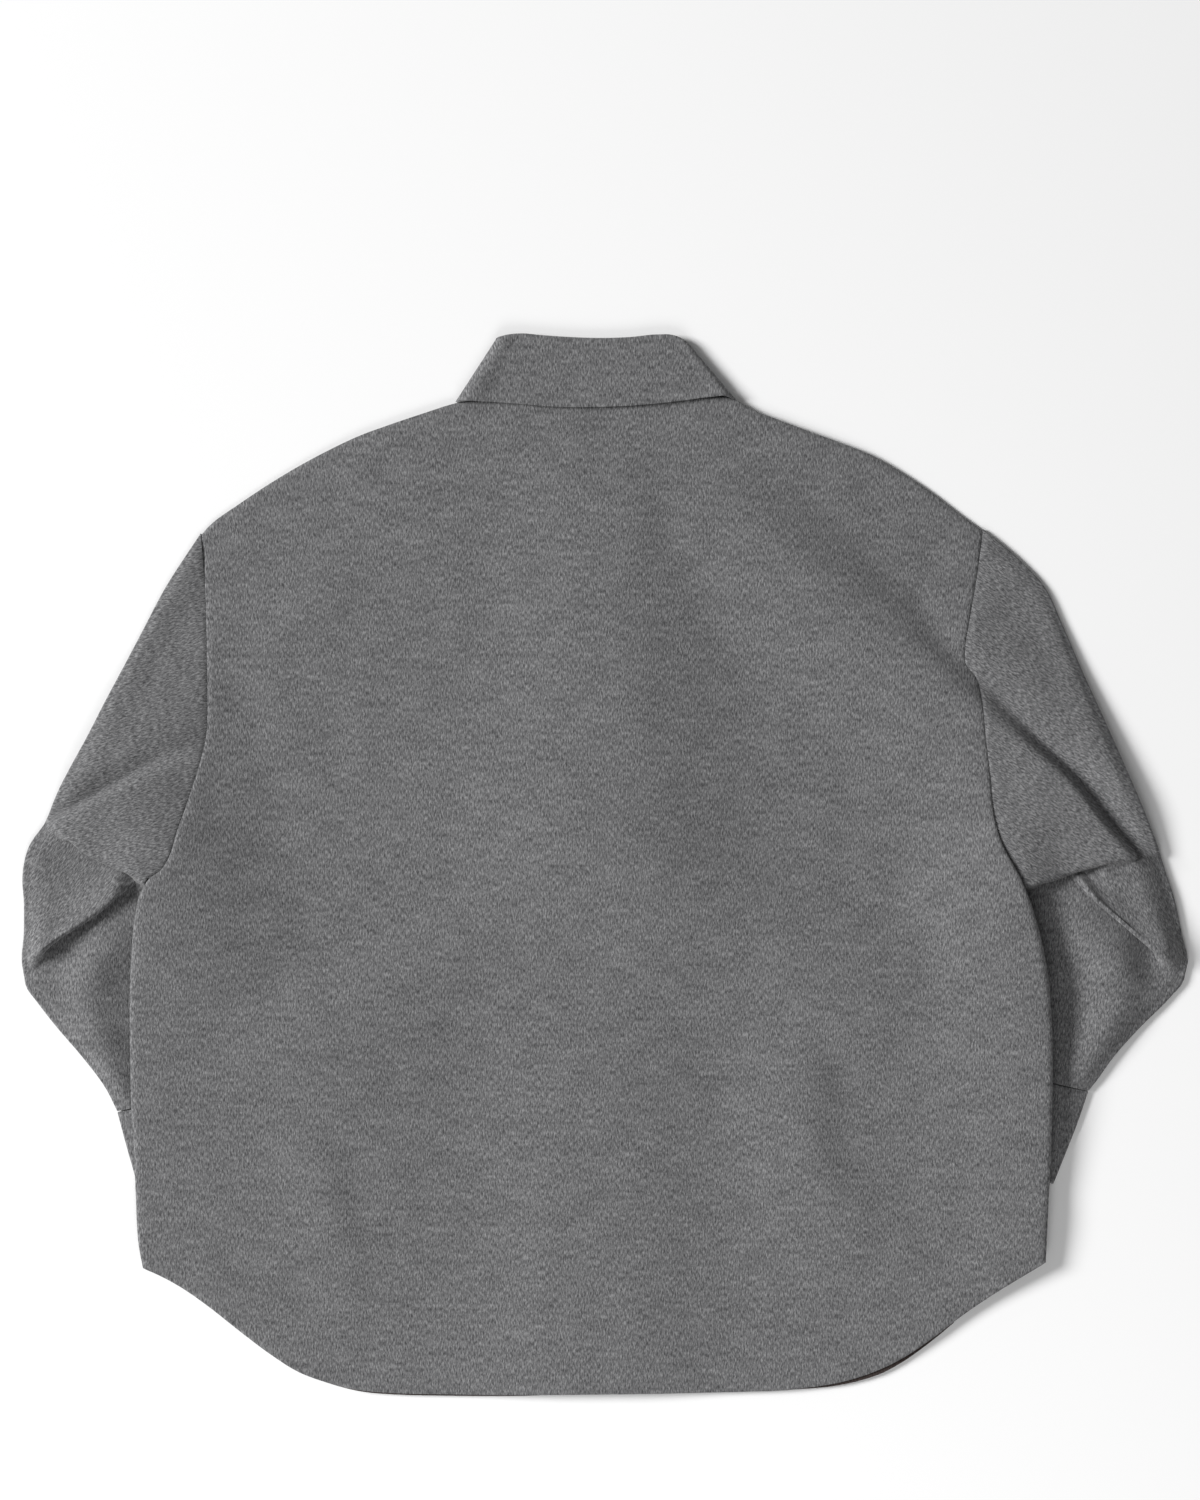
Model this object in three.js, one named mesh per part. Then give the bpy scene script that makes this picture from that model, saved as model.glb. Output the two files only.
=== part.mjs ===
// An oversized wool shirt-jacket, lying flat and face down, as a three.js scene graph.
// Millimetres, +Z up. X runs across the garment, +Y points to the collar, and z = 0 is what it lies on.
import * as THREE from "three";

// Cloth and seams
const WALL = 1.8; // thickness of the brushed wool
const LAYER = 2.2; // height that one more layer of cloth adds
const SEAM = 0.3; // each piece stops this far from the line of the seam
const FACING_WALL = 1.0;
const PIECE_GAP = 0.3; // between a piece and the one that it lies on
const FLOOR_LAYER = WALL / 2; // middle of a layer that lies on the surface
const TOP_LAYER = FLOOR_LAYER + LAYER; // middle of a second layer on top of it

// Body
const CENTRE_X = -7;
const LAP_HALF = 16; // half the width over which the two fronts lap
const LAP_FADE = 34; // the cloth comes down from the lap over this width
const PLACKET_LIFT = 2.5; // the lap lies on its buttons
const LEAF_LIFT = 2.2; // the fronts lie on the points of the collar
const LEAF_FADE = 35;
const COLLAR_POINTS = { y: 240, half: 122 }; // where the points of the collar lie under the fronts
const NECK_FADE = [290, 330]; // the lap ends between these values of y
const BACK_FADE = 95; // the back is stretched over what lies under it, and comes down more slowly
const ARM_LIFT = 4.5; // the fronts lie on the two layers of a forearm
const ARM_MARGIN = 19; // the cloth over a forearm stays high this far past it
const ARM_FADE = 30;
const BACK_ARM_FADE = 140; // and the back comes down from it more slowly

// Outline of the body, as edges from the collar down
const SHOULDER_LEFT = [
  [-298.4, 242.5], [-292.3, 249.4], [-270.1, 265.7], [-247.9, 280.5], [-225.7, 293.8],
  [-203.5, 305.6], [-181.3, 316.0], [-159.1, 324.1], [-134.7, 332.3], [-108.8, 340.4],
];
const SHOULDER_RIGHT = [
  [96.2, 342.6], [107.3, 336.0], [129.5, 327.1], [151.7, 318.9], [173.9, 310.8], [196.1, 301.9],
  [218.3, 289.3], [240.5, 274.5], [262.7, 257.5], [279.0, 245.7],
];
const BACK_NECK = [[-80, 345], [-45, 348], [-6, 349], [33, 348], [68, 345]];
const FRONT_NECK = [[0, 284], [35, 304], [65, 323.5], [88, 340]]; // distance from the centre, and y
const ARMHOLE_LEFT = [
  [-298.2, 242.7], [-295.3, 195.4], [-294.5, 158.4], [-293.8, 121.4], [-294.5, 95.5],
  [-298.2, 77.0], [-308.6, 42.2], [-315.2, 22.9], [-320.5, 5.0], [-326.3, -4.4], [-335.0, -10.6],
];
const ARMHOLE_RIGHT = [
  [279.0, 245.7], [275.0, 214.0], [268.6, 177.6], [265.7, 159.1], [266.4, 147.3], [273.1, 139.1],
  [277.5, 120.6], [280.5, 93.2], [283.4, 66.6], [285.6, 40.0], [290.1, 20.0], [305.5, -10.6],
];
const SIDE_LEFT = [
  [-335.0, -10.6], [-341.1, -20.7], [-344.8, -35.5], [-347.8, -62.2], [-349.3, -96.9],
  [-349.3, -139.9], [-348.5, -183.5], [-347.1, -205.0], [-345.6, -244.9], [-343.0, -284.0],
  [-340.4, -298.0],
];
const SIDE_RIGHT = [
  [305.5, -10.6], [313.0, -30.3], [319.7, -54.0], [324.9, -80.7], [327.8, -114.7], [328.6, -165.0],
  [327.8, -215.3], [325.6, -263.4], [324.9, -281.9], [324.5, -293.5],
];
const HEM = [
  [-340.4, -298.0], [-332.0, -301.5], [-314.5, -310.8], [-292.3, -326.3], [-270.1, -344.1],
  [-247.9, -361.1], [-225.7, -375.2], [-203.5, -383.3], [-181.3, -388.5], [-159.1, -390.4],
  [-114.7, -391.5], [-3.7, -390.9], [62.9, -390.2], [107.3, -389.4], [129.5, -388.5], [151.7, -386.3],
  [173.9, -382.6], [196.1, -375.9], [218.3, -365.6], [240.5, -350.8], [262.7, -333.7],
  [284.9, -318.2], [307.1, -304.1], [324.5, -293.5],
];
// How far the fronts' hem shows past the back's
const HEM_PEEK = [
  [-240, 0], [-169, 1.5], [-60, 1.6], [-10, 0.4], [60, 0.4], [140, 0.8], [205, 4.2], [250, 2.2],
  [290, 0],
];

// Grid of the body: fractions across, and fractions down the side and the armhole
const COLUMNS_HALF = [
  0, 0.008, 0.02, 0.04, 0.075, 0.12, 0.165, 0.21, 0.255, 0.3, 0.345, 0.39, 0.425, 0.455, 0.477,
];
const SIDE_ROWS = [0, 0.07, 0.17, 0.28, 0.39, 0.5, 0.61, 0.71, 0.8, 0.9];
// Fractions of the armhole, from the underarm up, also for every line across a sleeve
const ALONG_LINE = [0, 0.05, 0.12, 0.2, 0.29, 0.39, 0.5, 0.61, 0.72, 0.82, 0.92, 1];

const HEM_SPREAD = 1.3; // how fast the rows lose the shape of the hem on the way up
const SHOULDER_SPREAD = 1.6; // and how late they take the shape of the shoulders
const LAP_SHARE = 0.024; // each front passes the centre by this share of the width
const CALM_EDGE = { across: 0.14, up: 0.12 }; // soft folds die out this far from the edges
const PEEK = { rows: 0.035, share: 0.85 }; // the fronts' part of what shows past the back's hem
// Rows of a front below the neck: how many are pressed down to it, and from where
const FRONT_NECK_ROWS = { count: 7, half: 100, gap: 1.5, depth: 40, top: 215 };
// Shares of the height between which a front keeps clear of the folded sleeve, at the underarm
const UNDERARM = { inset: 7.5, reach: 0.045, span: [0.38, 0.47, 0.52, 0.6] };
const FACING = { from: 0.1, to: 0.44, depth: 20, calm: [26, 60] };

// Where a forearm and its cuff lie under the body
const ARM_UNDER_LEFT = [
  [-350, -47], [-330, -74], [-298, -108], [-262, -144], [-240, -160], [-221, -232], [-338, -256],
  [-350, -250],
];
const ARM_UNDER_RIGHT = [
  [332, -47], [312, -68], [284, -96], [255, -126], [234, -142], [206, -222], [332, -250],
  [338, -232],
];

// Ridges: lines along which the cloth stands high. Columns: x, y, height, width of the slope on the
// left of the line's run, width of the slope on its right.
const ELBOW_RIDGES = [
  [
    [-412, 30, 3, 5, 60], [-401, 33, 8, 6, 70], [-386, 39, 12, 7, 80], [-365, 49, 14, 9, 90],
    [-348, 57, 13.5, 13, 95], [-322, 66, 10.5, 24, 95], [-290, 74, 5, 40, 90], [-255, 84, 0, 50, 80],
  ],
  [
    [-408, 52, 2, 20, 18], [-394, 62, 6, 40, 22], [-374, 73, 9, 60, 25], [-350, 84, 10, 80, 28],
    [-322, 96, 8, 80, 30], [-296, 106, 4, 70, 30], [-270, 114, 0, 60, 30],
  ],
  [
    [418, -54, 2, 40, 5], [411, -31, 7, 60, 6], [398, -9, 12, 80, 7], [385, 7, 14, 100, 8],
    [366, 28, 14.5, 115, 9], [342, 58, 14.5, 125, 11], [314, 82, 13.5, 125, 15],
    [286, 105, 12, 120, 22], [258, 128, 11.5, 110, 30], [205, 172, 10, 100, 42],
    [160, 205, 9, 90, 46], [100, 248, 5.5, 75, 50], [45, 298, 0, 60, 50],
  ],
  [
    [418, -14, 1, 12, 8], [408, 14, 5, 20, 14], [394, 42, 8, 26, 22], [368, 76, 9, 30, 35],
    [338, 106, 9, 34, 50], [306, 134, 8, 36, 60], [270, 162, 6, 40, 60], [225, 196, 0, 40, 60],
  ],
];
// Ridges along the side seams, which lift the fronts too, below the underarm
const SIDE_RIDGES = [
  [[-341, 10, 13, 80, 60], [-339, -40, 11, 80, 50], [-345, -100, 8, 80, 40], [-346, -220, 2, 70, 40]],
  [[308, 10, 15, 60, 75], [312, -40, 16, 50, 80], [324, -110, 14, 40, 80], [327, -240, 6, 40, 70]],
];
const FRONT_LIFT = [0.4, 0.47]; // below these shares of the height they lift the fronts
// The forearms are a little open inside, and sink towards the second fold and the body
const FOREARM_RIDGES = [
  [
    [-352, -40, 3, 35, 22], [-368, -60, 7, 35, 24], [-380, -85, 8, 32, 28], [-376, -115, 6, 28, 28],
    [-366, -142, 5, 22, 24], [-357, -168, 3, 15, 18], [-352, -185, 0, 10, 12],
  ],
  [
    [332, -30, 3, 22, 35], [352, -52, 7, 24, 38], [370, -74, 9, 26, 40], [372, -100, 8, 26, 38],
    [364, -125, 6, 24, 32], [352, -150, 4, 20, 25], [345, -168, 0, 15, 18],
  ],
];
const BACK_RIDGES = [
  [
    [-170, 60, 0, 60, 60], [-100, 55, 3, 70, 70], [-54, 45, 5, 75, 75], [18, 10, 6.5, 80, 80],
    [78, -38, 6.5, 80, 80], [125, -64, 5, 70, 70], [200, -85, 3, 60, 60], [280, -100, 0, 50, 50],
  ],
  [[-330, -128, 1.5, 45, 70], [-209, -110, 4, 40, 80], [-138, -86, 4, 45, 80], [-70, -25, 0, 50, 70]],
  [[143, -90, 0, 30, 60], [148, -150, 3.5, 32, 70], [152, -215, 4.5, 34, 75], [225, -290, 1, 30, 60]],
  [
    [-236, -175, 0, 26, 45], [-206, -245, 2.6, 26, 50], [-190, -300, 1.6, 24, 45],
    [-186, -380, 1.2, 20, 40],
  ],
  [[-285, 66, 0, 18, 30], [-245, 92, 2, 20, 34], [-205, 124, 0, 20, 30]],
  [[-272, 158, 0, 20, 36], [-225, 188, 2, 24, 40], [-170, 212, 0, 24, 36]],
  [[40, 300, 0, 50, 50], [-5, 230, 3, 60, 60], [-10, 150, 2, 60, 60], [-40, 90, 0, 50, 50]],
];

// Sleeves, as lines across the upper layer from the armhole to the cuff. Each line runs from the
// underarm to the outer fold.
const SLEEVE_LEFT = {
  side: -1,
  armhole: ARMHOLE_LEFT,
  cap: [
    [[-336.3, -9.2], [-325.6, 200.5]],
    [[-336.8, -9.8], [-340.5, 172.0]],
    [[-337.3, -10.4], [-354.5, 145.0]],
    [[-337.7, -11.0], [-368.5, 118.0]],
    [[-338.1, -11.5], [-381.8, 91.5]],
    [[-338.5, -12.0], [-393.5, 70.0]],
    [[-338.9, -12.5], [-403.3, 51.1]],
  ],
  flapEdge: [[-339.3, -13.0], [-352.2, -5.0], [-378.1, 7.0], [-410.5, 33.0]],
  panelEdge: [
    [-338.5, -20.0], [-346.5, -12.0], [-352.2, -16.0], [-375.9, -35.5], [-404.0, -54.0],
    [-429.0, -74.0],
  ],
  panelOuter: [
    [-413.0, 28.0], [-424.0, 12.0], [-428.5, -8.1], [-427.4, -30.0], [-427.7, -52.5],
    [-429.2, -70.0],
  ],
  forearm: [
    [[-338.0, -31], [-426.5, -88.5]],
    [[-338.5, -46], [-418.0, -101.0]],
    [[-330.0, -72], [-404.0, -119.0]],
    [[-298.0, -106], [-384.8, -141.3]],
    [[-262.0, -142], [-366.5, -166.0]],
    [[-240.0, -158], [-358.6, -182.0]],
  ],
  cuff: [
    [[-240.0, -158.6], [-358.4, -183.0]], [[-234.0, -182.0], [-352.2, -206.5]],
    [[-228.0, -206.0], [-345.4, -230.5]], [[-222.0, -230.0], [-339.5, -254.0]],
  ],
  flapDepth: 15,
  panelDepth: 13,
  flapLens: [0.1, 0.3, 0.62, 0.8],
  panelCrest: { height: 12, span: [0.06, 0.3, 0.82, 1], start: 0, startSpan: [0, 0.2, 0.8, 1] },
};
const SLEEVE_RIGHT = {
  side: 1,
  armhole: ARMHOLE_RIGHT,
  cap: [
    [[307.3, -9.2], [305.0, 224.0]],
    [[307.2, -10.4], [325.0, 202.0]],
    [[307.6, -11.2], [337.0, 176.0]],
    [[308.0, -12.0], [352.0, 140.5]],
    [[308.3, -12.8], [367.0, 107.0]],
    [[308.6, -13.6], [381.5, 73.5]],
    [[308.9, -14.4], [396.0, 39.5]],
  ],
  flapEdge: [[309.2, -15.2], [328.6, -10.4], [344.8, -4.4], [376.7, 3.7], [407.5, 10.0]],
  panelEdge: [
    [308.8, -22.0], [322.0, -10.0], [344.8, -9.0], [361.9, -25.2], [381.8, -42.2],
    [401.8, -59.2], [416.5, -70.0], [429.0, -72.0],
  ],
  panelOuter: [[409.0, 5.0], [413.0, -8.0], [418.1, -22.9], [421.8, -37.7], [424.8, -52.5], [428.6, -68.0]],
  forearm: [
    [[308.5, -32], [426.0, -85.0]],
    [[312.0, -47], [417.0, -96.5]],
    [[307.0, -68], [394.5, -119.0]],
    [[284.0, -96], [374.4, -141.3]],
    [[256.0, -126], [361.0, -160.0]],
    [[236.0, -141], [355.5, -167.0]],
  ],
  cuff: [
    [[235.7, -141.7], [355.2, -167.7]], [[227.5, -164.3], [347.5, -190.5]],
    [[219.0, -187.0], [338.5, -213.5]], [[210.8, -209.8], [329.5, -236.0]],
  ],
  flapDepth: 15,
  panelDepth: 13,
  flapLens: [0.08, 0.22, 0.5, 0.66],
  panelCrest: { height: 13, span: [0.24, 0.45, 0.86, 1], start: 7, startSpan: [0.45, 0.62, 0.8, 1] },
};
const PANEL_LENS = [0.08, 0.26, 0.66, 0.9];
const UNDER_LINE = [0, 0.12, 0.2, 0.39, 0.5, 0.61, 0.82, 1]; // fractions of the lower layer
const CUFF_LINE = [0, 0.3, 0.7, 1];
const EDGE_INSET = 1.3; // the fold at a sleeve's edge rounds over this width
const PANEL = { low: 0.8, climb: [0.25, 1] }; // the panel climbs to its crest over this share of it
const PULL_FROM = 0.3; // from this fraction out, the panel follows the sleeve's outer edge
const PLEAT_END = 0.6; // share of the way to the next line at which a pleat's ends lie
const CAP_BOW = { first: 0.62, step: 0.2 }; // lines near the armhole bend with it

// A folded pleat, from its edge to where the next panel starts.
// Columns: shift along the sleeve, share of the tuck, share of the drop.
const PLEAT = [
  { shift: 0, tuck: 0, drop: 0 },
  { shift: 1.4, tuck: 0, drop: 0.25 },
  { shift: 0.6, tuck: 0.12, drop: 0.48 },
  { shift: 0.4, tuck: 1, drop: 0.5 },
  { shift: -0.6, tuck: 1.06, drop: 0.75 },
  { shift: 1.2, tuck: 0.95, drop: 1 },
];

// Collar, as rows round the neck.
// Columns: roll line, outer edge, seam at the neck, height of the fall, height of the stand.
const COLLAR_ROWS = [
  { roll: [-9, 317], edge: [-55, 250], neck: [-9, 286], fall: 0.9, stand: 3.1 },
  { roll: [-40, 341], edge: [-80, 284], neck: [-42, 306], fall: 0.9, stand: 3.1 },
  { roll: [-64, 366], edge: [-97, 316], neck: [-72, 326], fall: 0.9, stand: 3.1 },
  { roll: [-76, 384], edge: [-106, 340.5], neck: [-94, 342], fall: 0.9, stand: 3.1 },
  { roll: [-79.5, 388], edge: [-109.6, 341.2], neck: [-95, 345], fall: 4.1, stand: 4.1 },
  { roll: [-75.5, 389.4], edge: [-106, 341.8], neck: [-93.5, 346], fall: 7.3, stand: 5.1 },
  { roll: [-62, 391.2], edge: [-85, 341.2], neck: [-78, 347], fall: 7.3, stand: 5.1 },
  { roll: [-48, 390], edge: [-62.9, 339.7], neck: [-58, 349], fall: 7.3, stand: 5.1 },
  { roll: [-25.9, 388.5], edge: [-33.3, 337.4], neck: [-32, 350.5], fall: 7.3, stand: 5.1 },
  { roll: [-3.7, 387.8], edge: [-5.9, 337.4], neck: [-6, 351], fall: 7.3, stand: 5.1 },
  { roll: [18.5, 388.5], edge: [25.9, 338.9], neck: [20, 350.5], fall: 7.3, stand: 5.1 },
  { roll: [38, 390.4], edge: [55.5, 341.9], neck: [46, 349], fall: 7.3, stand: 5.1 },
  { roll: [50, 390], edge: [77.7, 344.8], neck: [66, 347], fall: 7.3, stand: 5.1 },
  { roll: [58, 386.5], edge: [91, 345.4], neck: [80, 346.5], fall: 7.3, stand: 5.1 },
  { roll: [64, 379], edge: [96, 342.4], neck: [82, 345.5], fall: 4.1, stand: 4.1 },
  { roll: [58, 377], edge: [92, 340], neck: [80, 342], fall: 0.9, stand: 3.1 },
  { roll: [46, 364], edge: [83, 316], neck: [58, 326], fall: 0.9, stand: 3.1 },
  { roll: [22, 341], edge: [66, 284], neck: [28, 306], fall: 0.9, stand: 3.1 },
  { roll: [-4, 317], edge: [41, 250], neck: [-4, 286], fall: 0.9, stand: 3.1 },
];
const FALL_SHARES = [0.25, 0.5, 0.75, 1];
const ROLL_TURN = 1.6; // the fall turns over within this width
const STAND_GAP = 1.6; // between the turn and the top of the stand
// The two rows at which the collar turns from its front to its back, and how it is folded there
const SIDE_TURN = { rows: [4, 14], inside: 8, softer: 0.3, gap: 6.5, roll: 0.3 };

const BUTTONS = {
  count: 6,
  first: 205,
  last: -330,
  radius: 10,
  thickness: 2.2,
  sides: 16,
  round: 0.6,
  rimInner: 8,
  dishOuter: 7,
  dish: 0.4,
};

const COLOURS = { wool: 0x6b6b6d, facing: 0x3c3432, button: 0x2e2c2b };

// Small helpers

const lerp = (a, b, t) => a + (b - a) * t;
const mix = (p, q, t) => p.map((value, i) => lerp(value, q[i], t));
const clamp01 = (t) => Math.min(1, Math.max(0, t));
const distance = (p, q) => Math.hypot(p[0] - q[0], p[1] - q[1]);
const minus = (p, q) => p.map((value, i) => value - q[i]);
const plus = (p, q, times) => p.map((value, i) => value + times * q[i]);

function smoothstep(from, to, value) {
  const t = clamp01((value - from) / (to - from));
  return t * t * (3 - 2 * t);
}

const smoothMax = (a, b) => Math.cbrt(a ** 3 + b ** 3);

// A point, with any further columns, at a fraction of a polyline's length.
function along(path, fraction) {
  const lengths = path.slice(1).map((point, i) => distance(path[i], point));
  const total = lengths.reduce((sum, length) => sum + length, 0);
  let rest = clamp01(fraction) * total;
  for (let i = 0; i < lengths.length; i++) {
    if (rest <= lengths[i]) return mix(path[i], path[i + 1], rest / lengths[i]);
    rest -= lengths[i];
  }
  return path[path.length - 1];
}

// The second column of a table at a value of its first.
function lookUp(table, value) {
  if (value <= table[0][0]) return table[0][1];
  for (let i = 1; i < table.length; i++) {
    const [x0, y0] = table[i - 1];
    const [x1, y1] = table[i];
    if (value <= x1) return lerp(y0, y1, (value - x0) / (x1 - x0));
  }
  return table[table.length - 1][1];
}

// The nearest point of a polyline: its columns, the distance, and the signed distance to its left.
function nearest(path, p) {
  let best = { far: Infinity };
  for (let i = 1; i < path.length; i++) {
    const a = path[i - 1];
    const b = path[i];
    const run = [b[0] - a[0], b[1] - a[1]];
    const off = [p[0] - a[0], p[1] - a[1]];
    const t = clamp01((off[0] * run[0] + off[1] * run[1]) / (run[0] ** 2 + run[1] ** 2));
    const point = mix(a, b, t);
    const far = distance(point, p);
    const left = Math.sign(run[0] * off[1] - run[1] * off[0]);
    if (far < best.far) best = { far, point, signed: far * left };
  }
  return best;
}

function isInside(outline, [x, y]) {
  let inside = false;
  outline.forEach(([x0, y0], i) => {
    const [x1, y1] = outline[(i + 1) % outline.length];
    if (y0 > y !== y1 > y && x < x0 + ((y - y0) / (y1 - y0)) * (x1 - x0)) inside = !inside;
  });
  return inside;
}

// How the cloth lies

function ridgeHeight(line, p) {
  const { far, point, signed } = nearest(line, p);
  const [, , height, left, right] = point;
  return height * (1 - smoothstep(0, signed > 0 ? left : right, far));
}

const ridgeHeights = (ridges, p) =>
  ridges.reduce((sum, line) => smoothMax(sum, ridgeHeight(line, p)), 0);

function armLift(p, fade) {
  const lifts = [ARM_UNDER_LEFT, ARM_UNDER_RIGHT].map((outline) => {
    const far = isInside(outline, p) ? 0 : nearest([...outline, outline[0]], p).far;
    return ARM_LIFT * (1 - smoothstep(ARM_MARGIN, ARM_MARGIN + fade, far));
  });
  return Math.max(...lifts);
}

// Height that the folds at the elbows give to the upper layer of the sleeves and to the back.
const elbowLift = (p) => ridgeHeights([...ELBOW_RIDGES, ...SIDE_RIDGES], p);

// Height that the ridges at the sides give to the fronts.
const sideLift = (p, up) => ridgeHeights(SIDE_RIDGES, p) * (1 - smoothstep(...FRONT_LIFT, up));

const fromCentre = (x) => Math.abs(x - CENTRE_X);
const belowNeck = ([, y]) => 1 - smoothstep(...NECK_FADE, y);

function lap([x], fade = LAP_FADE) {
  return 1 - smoothstep(LAP_HALF, LAP_HALF + fade, fromCentre(x));
}

// Where the points of the collar lie under the fronts. The back comes down from them more slowly.
function overCollar([x, y], fade) {
  const { y: pointsY, half } = COLLAR_POINTS;
  return smoothstep(pointsY - fade, pointsY, y) * (1 - smoothstep(half, half + 1.5 * fade, fromCentre(x)));
}

// Lower face of the fronts, before one laps over the other.
function frontBase(p) {
  const overButtons = PLACKET_LIFT * lap(p) * belowNeck(p);
  return Math.max(overButtons, LEAF_LIFT * overCollar(p, LEAF_FADE)) + armLift(p, ARM_FADE);
}

// Lower face of the back: on both fronts, the hem facing and whatever folds lift it.
function backBase(p, across, up) {
  const folds = ridgeHeights(BACK_RIDGES, p) * freeShare(across, up);
  const aboveHem = p[1] - lookUp(HEM, p[0]);
  const facing = (FACING_WALL + 0.2) * (1 - smoothstep(...FACING.calm, aboveHem));
  const overLap = (PLACKET_LIFT + LAYER) * lap(p, BACK_FADE) * belowNeck(p);
  const fronts = smoothMax(overLap, LEAF_LIFT * overCollar(p, BACK_FADE)) + armLift(p, BACK_ARM_FADE);
  return fronts + LAYER + smoothMax(elbowLift(p), folds) + facing;
}

// Closed walls

// A closed wall between two grids of points that have the same rows and columns, outer one first.
function wallBetween(outer, inner, ringClosed = false) {
  const rows = outer.length;
  const columns = outer[0].length;
  const positions = [...outer.flat(), ...inner.flat()].flat();
  const offset = rows * columns;
  const at = (layer, i, j) => layer * offset + i * columns + (j % columns);
  const index = [];
  const quad = (a, b, c, d) => index.push(a, b, c, a, c, d);
  const last = ringClosed ? columns : columns - 1;
  for (let i = 0; i < rows - 1; i++) {
    for (let j = 0; j < last; j++) {
      quad(at(0, i, j), at(0, i, j + 1), at(0, i + 1, j + 1), at(0, i + 1, j));
      quad(at(1, i, j), at(1, i + 1, j), at(1, i + 1, j + 1), at(1, i, j + 1));
    }
  }
  for (let j = 0; j < last; j++) {
    quad(at(0, 0, j), at(1, 0, j), at(1, 0, j + 1), at(0, 0, j + 1));
    quad(at(0, rows - 1, j + 1), at(1, rows - 1, j + 1), at(1, rows - 1, j), at(0, rows - 1, j));
  }
  if (!ringClosed) {
    for (let i = 0; i < rows - 1; i++) {
      quad(at(0, i + 1, 0), at(1, i + 1, 0), at(1, i, 0), at(0, i, 0));
      quad(at(0, i, last), at(1, i, last), at(1, i + 1, last), at(0, i + 1, last));
    }
  }
  const geometry = new THREE.BufferGeometry();
  geometry.setAttribute("position", new THREE.Float32BufferAttribute(positions, 3));
  geometry.setIndex(index);
  geometry.computeVertexNormals();
  return geometry;
}

// A unit vector from one point to another.
function direction(from, to) {
  return new THREE.Vector3(...to).sub(new THREE.Vector3(...from)).normalize();
}

// Normals of a grid of points, from the directions between neighbours.
function gridNormals(grid, ringClosed) {
  const rows = grid.length;
  const columns = grid[0].length;
  return grid.map((row, i) =>
    row.map((_, j) => {
      const before = ringClosed ? (j + columns - 1) % columns : Math.max(0, j - 1);
      const after = ringClosed ? (j + 1) % columns : Math.min(columns - 1, j + 1);
      const across = direction(row[before], row[after]);
      const down = direction(grid[Math.max(0, i - 1)][j], grid[Math.min(rows - 1, i + 1)][j]);
      return across.cross(down).normalize();
    }),
  );
}

// A wall of even thickness about a grid of points in the middle of the cloth.
function wallAbout(grid, thickness, ringClosed = false) {
  const normals = gridNormals(grid, ringClosed);
  const movePoint = (point, normal, amount) =>
    new THREE.Vector3(...point).addScaledVector(normal, amount).toArray();
  const moved = (amount) =>
    grid.map((row, i) => row.map((point, j) => movePoint(point, normals[i][j], amount)));
  return wallBetween(moved(thickness / 2), moved(-thickness / 2), ringClosed);
}

function makeMesh(name, geometry, colour, roughness) {
  const material = new THREE.MeshStandardMaterial({ color: colour, roughness, metalness: 0 });
  const mesh = new THREE.Mesh(geometry, material);
  mesh.name = name;
  return mesh;
}

const woolMesh = (name, geometry) => makeMesh(name, geometry, COLOURS.wool, 0.95);

// Body

const COLUMNS = [...COLUMNS_HALF, 0.5, ...COLUMNS_HALF.map((f) => 1 - f).reverse()];
const SHOULDER_LINE = [...SHOULDER_LEFT, ...BACK_NECK, ...SHOULDER_RIGHT];

// Rows of the body from the hem up: a left and a right point, and the share of the height.
// The lower half of the height is the side seam, the upper half the armhole.
const bodyRow = (left, right, f, up) => ({ left: along(left, 1 - f), right: along(right, 1 - f), up });
const BODY_ROWS = [
  ...SIDE_ROWS.map((f) => bodyRow(SIDE_LEFT, SIDE_RIGHT, f, f / 2)),
  ...ALONG_LINE.map((f) => bodyRow(ARMHOLE_LEFT, ARMHOLE_RIGHT, f, (1 + f) / 2)),
];
const UNDERARM_ROW = SIDE_ROWS.length;

// How far a line is from the straight line between its ends.
function offChord(line, across) {
  const [x, y] = mix(line[0], line[line.length - 1], across);
  return lookUp(line, x) - y;
}

// A point of the body's grid in plan. The rows follow the hem at the bottom and the shoulders at the top.
function bodyPoint({ left, right, up }, across) {
  const [x, y] = mix(left, right, across);
  const hemDrop = offChord(HEM, across) * (1 - up) ** HEM_SPREAD;
  const topRise = offChord(SHOULDER_LINE, across) * up ** SHOULDER_SPREAD;
  return [x, y + hemDrop + topRise];
}

const inset = ([x, y], amount) => [x + (x < CENTRE_X ? amount : -amount), y];

// A wall of even height on a grid of points of its lower face.
function wallOn(grid, thickness) {
  const upper = grid.map((row) => row.map(([x, y, z]) => [x, y, z + thickness]));
  return wallBetween(upper, grid);
}

// How free a point of the back is from its edges, which lie calm.
function freeShare(across, up) {
  const { across: wide, up: high } = CALM_EDGE;
  return smoothstep(0, wide, Math.min(across, 1 - across)) * smoothstep(0, high, Math.min(up, 1 - up));
}

function backPanel() {
  const seamAt = (i, f) => {
    if (i < UNDERARM_ROW || (f > 0 && f < 1)) return 0;
    return i === UNDERARM_ROW ? 3 * SEAM : SEAM;
  };
  const grid = BODY_ROWS.map((row, i) =>
    COLUMNS.map((f) => {
      const plan = bodyPoint(row, f);
      return [...inset(plan, seamAt(i, f)), backBase(plan, f, row.up)];
    }),
  );
  return wallOn(grid, WALL);
}

// Nothing at both ends of a span of four values, full between the two middle ones.
function lens([start, full, fade, end], r) {
  return smoothstep(start, full, r) * (1 - smoothstep(fade, end, r));
}

// At the underarm the front's corner keeps clear of the folded sleeve.
const underarmInset = (up) => UNDERARM.inset * lens(UNDERARM.span, up);
const nearSide = (f) => clamp01(1 - Math.min(f, 1 - f) / UNDERARM.reach);

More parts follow.
